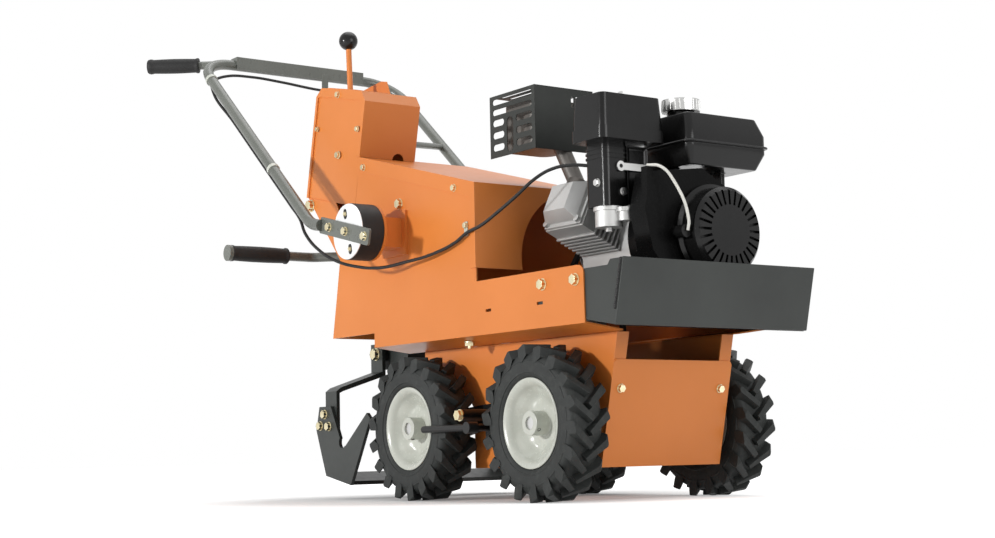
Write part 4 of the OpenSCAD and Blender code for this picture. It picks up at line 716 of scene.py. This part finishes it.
panel = [(x, y, 417, normal, 12) for y, normal in ((-242, RIGHT), (242, LEFT)) for x in (42, 144)]
panel += [(-465, -242, 640, RIGHT, 12), (-610, -245, 741.7, RIGHT, 8), (-250, -245, 645.3, RIGHT, 8),
          (-854, -242, 686, RIGHT, 15), (-719.7, -245, 928.7, RIGHT, 8), (-212, -243.5, 562, RIGHT, 7),
          (-818, -245, 864, RIGHT, 6), (-635, -245, 834, RIGHT, 7), (-721.6, -245, 787.5, RIGHT, 9)]
panel += [(129.5, y, 215, RAKED, 9) for y in (-128, 128)]
bolts("panel_bolts", "frame", panel)
plate = [(x, y, z, normal, 10) for x, z in ((-551.9, 591.9), (-484, 575), (-405.4, 555.4))
         for y, normal in ((-369, RIGHT), (195, LEFT))]
bolts("handle_plate_bolts", "frame", plate)
ROCKER_X, ROCKER_Z = -794.5, 334
fork = [(ROCKER_X + dx, s * 238, ROCKER_Z + dz, (0, s, 0), 11)
        for dx, dz in ((-14, -140), (4, -168), (-34, -166)) for s in (-1, 1)]
fork += [(ROCKER_X, s * 105, ROCKER_Z, (0, s, 0), 15) for s in (-1, 1)]
bolts("blade_fork_bolts", "blade_gear", fork)
elbow = [(94.1, -141, 615, RIGHT, 8.5), (118, -97, 597.7, FRONTWARD, 8.5)]
bolts("elbow_screws", "frame", elbow, "bright steel")
print("bolts:", len(panel) + len(plate) + len(fork) + len(elbow))

# %% [markdown]
# ## Slots in the isolator plates
# Each round plate has two slots, and a bolt sits in the dark rubber behind each. A disc becomes a slot
# liner when its upper half moves up and its lower half down, and then it is extruded.

# %% Slot liners and their bolts
ISOLATOR_X, ISOLATOR_Z, SLOT_OFF, SLOT_PITCH = -484.0, 575.0, 40.0, math.radians(14)
SLOT_FACES = ((-1, -361.75), (1, 187.75))
SLOT_R, SLOT_RUN, LINER_T = 0.0072, 0.004, 0.0009
SLOT_BOLT, SLOT_BOLT_OUT = 5.0, 1.6


def slot_places():
    for side, y in SLOT_FACES:
        for end in (-1, 1):
            x = ISOLATOR_X - end * SLOT_OFF * math.sin(SLOT_PITCH)
            z = ISOLATOR_Z + end * SLOT_OFF * math.cos(SLOT_PITCH)
            yield side, x, y, z


def slot_liners():
    bm = bmesh.new()
    for side, x, y, z in slot_places():
        one = bmesh.new()
        bmesh.ops.create_circle(one, cap_ends=True, segments=36, radius=SLOT_R)
        for v in one.verts:
            v.co.y += SLOT_RUN if v.co.y > 0 else -SLOT_RUN
        thicken(one, (0, 0, LINER_T))
        bmesh.ops.recalc_face_normals(one, faces=one.faces)
        stand = Matrix.Rotation(-SLOT_PITCH, 4, "Y") @ Matrix.Rotation(math.radians(-90 * side), 4, "X")
        bmesh.ops.transform(one, matrix=Matrix.Translation(spot(x, y, z)) @ stand, verts=one.verts)
        pour(one, bm)
    new_piece("plate_slot_liners", bm, "frame", "rubber")


slot_liners()
heads = [(x, y + side * SLOT_BOLT_OUT, z, (0, side, 0), SLOT_BOLT) for side, x, y, z in slot_places()]
bolts("plate_slot_bolts", "frame", heads)
print("slots:", len(heads))

# %% [markdown]
# ## Carburettor body and the stud under the skirt
# Between the intake elbow and the cylinder sits the carburettor's black body. A cube gets a sunk face
# by inset and then soft corners. The stud that hangs under the skirt is a nut with the bolt's end
# showing.

# %% Carburettor body and stud
CARBURETTOR_LOW, CARBURETTOR_HIGH = (57, -84, 573), (117.4, -30, 690)
CARBURETTOR_RIM, CARBURETTOR_SINK, CARBURETTOR_EDGE = 0.010, 0.004, 0.0025
STUD_X, STUD_Y, NUT_Z, SHANK_Z = -268, -200, 328.4, 317.2
NUT_SIZE, SHANK_LOW_R, SHANK_TOP_R, SHANK_H = 0.012, 0.0048, 0.0057, 0.008


def carburettor_body():
    bm = bmesh.new()
    bmesh.ops.create_cube(bm, size=1.0)
    low, high = spot(*CARBURETTOR_LOW), spot(*CARBURETTOR_HIGH)
    bmesh.ops.scale(bm, verts=bm.verts, vec=high - low)
    bmesh.ops.translate(bm, verts=bm.verts, vec=(low + high) / 2)
    bm.normal_update()
    front = [f for f in bm.faces if f.normal.x > 0.9]
    bmesh.ops.inset_region(bm, faces=front, thickness=CARBURETTOR_RIM, depth=-CARBURETTOR_SINK)
    round_off(bm, list(bm.edges), CARBURETTOR_EDGE, segments=3)
    new_piece("carburettor_body", bm, "frame", "black plastic")


def skirt_stud():
    bm = bolt_shape(spot(STUD_X, STUD_Y, NUT_Z), (0, 0, -1), NUT_SIZE)
    shank = stub(bm, 24, SHANK_LOW_R, SHANK_TOP_R, SHANK_H)
    bmesh.ops.translate(bm, verts=shank, vec=spot(STUD_X, STUD_Y, SHANK_Z))
    new_piece("skirt_stud", bm, "frame", "zinc hardware")


carburettor_body()
skirt_stud()
print("carburettor body and stud done")

# %% [markdown]
# ## Weld on the deck's corners
# The bumper plate is welded to the deck's arms, and the bead was left rough under the paint. It is a
# row of small balls that overlap, each a little larger or smaller than the last.

# %% Corner weld
WELD_BALLS, WELD_START, WELD_RUN, WELD_R = 26, 0.004, 0.086, 0.0040
WELD_BACK, WELD_Y = 0.008, 243.0
WELD_WAVES = ((0.16, 2.4), (0.10, 5.3))


def corner_weld():
    bm = bmesh.new()
    nose_x, _, nose_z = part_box("engine_deck")[1]
    for side in (-1, 1):
        y = spot(0, side * WELD_Y, 0).y
        for i in range(WELD_BALLS):
            drop = WELD_START + WELD_RUN * i / (WELD_BALLS - 1)
            radius = WELD_R * (1 + sum(share * math.sin(pace * i) for share, pace in WELD_WAVES))
            ball = bmesh.ops.create_icosphere(bm, subdivisions=2, radius=radius)["verts"]
            x = nose_x - WELD_BACK - drop * math.tan(FRONT_RAKE)
            bmesh.ops.translate(bm, verts=ball, vec=(x, y, nose_z - drop))
    new_piece("deck_corner_weld", bm, "frame", "black paint")


corner_weld()
print("weld balls:", 2 * WELD_BALLS)

# %% [markdown]
# ## Grips
# The grips are smooth moulded sleeves: a collar at the inner end, a slight belly, and a rounded outer
# end with a small vent hole. That outline is spun round the bar, so the highlight runs along the sleeve
# as one streak.

# %% Grips
COLLAR, VENT_R, BELLY, BELLY_STEPS, SLEEVE_STEPS = 0.0016, 0.0022, 0.0011, 10, 40
HAND_GRIP_R, HAND_GRIP_LENGTH, LIFT_GRIP_R, LIFT_GRIP_LENGTH = 0.0175, 0.131, 0.0172, 0.152
SWEEP, HANDLE_X, HANDLE_BEND_Y, HANDLE_Z = math.radians(37), -1190.78, 203, 1088
BEND_TO_GRIP = 0.073
LIFT_GRIP_AT = (-855, -309.5, 564)


def sleeve(radius, length):
    """The outline of a grip as (radius, height) points, from its collar to its vent hole."""
    collar = radius + COLLAR
    start = [(radius - 0.006, 0.0), (collar - 0.0012, 0.0), (collar, 0.0014), (collar, 0.0052),
             (radius + COLLAR * 0.4, 0.0072)]
    shares = [i / BELLY_STEPS for i in range(BELLY_STEPS + 1)]
    belly = [(radius + BELLY * math.sin(math.pi * t), 0.010 + (length - 0.026) * t) for t in shares]
    end = [(radius + 0.0012, length - 0.013), (radius + 0.0016, length - 0.008), (radius, length - 0.0030),
           (radius - 0.0022, length - 0.0008), (radius - 0.005, length), (VENT_R + 0.001, length),
           (VENT_R, length - 0.0008), (VENT_R, length - 0.006), (0.0, length - 0.006)]
    return start + belly + end


def sleeve_on(bm, start, along, points):
    one = bmesh.new()
    spin_round(one, points, SLEEVE_STEPS, closed=False)
    bmesh.ops.recalc_face_normals(one, faces=one.faces)
    bmesh.ops.transform(one, matrix=aim(start, along), verts=one.verts)
    pour(one, bm)


def hand_grips():
    bm = bmesh.new()
    for side in (-1, 1):
        along = Vector((-math.sin(SWEEP), side * math.cos(SWEEP), 0))
        start = spot(HANDLE_X, WIDTH_MID_Y + side * HANDLE_BEND_Y, HANDLE_Z) + along * BEND_TO_GRIP
        sleeve_on(bm, start, along, sleeve(HAND_GRIP_R, HAND_GRIP_LENGTH))
    piece = new_piece("smooth_hand_grips", bm, "frame", "rubber")
    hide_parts("handle_grips")


def lift_grip():
    bm = bmesh.new()
    sleeve_on(bm, spot(*LIFT_GRIP_AT), RIGHT, sleeve(LIFT_GRIP_R, LIFT_GRIP_LENGTH))
    new_piece("lift_grip_sleeve", bm, "frame", "rubber")


hand_grips()
lift_grip()
print("grips done")

# %% [markdown]
# ## Throttle cable and starter rope
# The throttle cable leaves the bail, runs down under the right tube, hangs in a bow across the side
# panel and goes up to the carburettor. A smooth curve through its fixing points gives it the bow of a
# stiff sheathed cable. The starter rope is short and taut.

# %% Cables
CABLE_D, ROPE_D = 7.0, 6.0
TUBE_PITCH, TUBE_R, TIE_GAP = math.radians(40.5), 12.7, 2.6
TUBE_FOOT_X, TUBE_FOOT_Z, CABLE_Y = -627.6, 607.0, -371.0
TUBE_TOP_X, TUBE_STEPS = -1190.8, (81, 191, 291, 391, 471, 511)
START = [(-1168.3, -18, 1045), (-1160.8, -63, 1045), (-1157.8, -160, 1052), (-1159.8, -240, 1056),
         (-1157.8, -310, 1050), (-1145.8, -352, 1030)]
BOW = [(-640, -377, 584), (-604, -366, 548), (-572, -342, 522), (-530, -312, 506), (-484, -288, 500),
       (-404, -266, 506), (-318, -256, 514), (-240, -251, 530), (-200, -250, 545), (-152, -246, 556),
       (-110, -232, 580), (-75, -215, 606), (-40, -190, 640), (-10, -170, 656), (22, -148, 660),
       (51.8, -126, 656)]
ROPE = [(229.4, -33, 512), (233, -33, 532), (218, -53, 606), (206, -77, 636), (184, -92, 640.4)]


def cable(name, points, diameter, slot, body):
    """A round cord through points. Returns the object and the cord's length."""
    data = bpy.data.curves.new(name, "CURVE")
    data.dimensions = "3D"
    data.bevel_depth = diameter / 2
    data.bevel_resolution = 4
    data.resolution_u = 8
    data.use_fill_caps = True
    spline = data.splines.new("BEZIER")
    spline.bezier_points.add(len(points) - 1)
    for knot, p in zip(spline.bezier_points, points):
        knot.co = p
        knot.handle_left_type = knot.handle_right_type = "AUTO"
    obj = bpy.data.objects.new(name, data)
    bpy.context.scene.collection.objects.link(obj)
    data.materials.append(FINISH[slot])
    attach(obj, body)
    length = round(spline.calc_length(), 4)
    print(name, "length", length)
    return obj, length


def under_tube(x):
    """A place for the cable's middle just under the right handle tube."""
    middle = TUBE_FOOT_Z + (TUBE_FOOT_X - x) * math.tan(TUBE_PITCH)
    return spot(x, CABLE_Y, middle - (TUBE_R + CABLE_D / 2 + TIE_GAP) / math.cos(TUBE_PITCH))


along_tube = [under_tube(TUBE_TOP_X + step) for step in TUBE_STEPS]
route = [spot(*p) for p in START] + along_tube + [spot(*p) for p in BOW]
throttle, reach = cable("throttle_cable_sheath", route, CABLE_D * MM, "rubber", "frame")
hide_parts("throttle_cable")
rope = [spot(*p) for p in ROPE]
pull, reach = cable("starter_pull_cord", rope, ROPE_D * MM, "rope", "frame")
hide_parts("starter_rope")
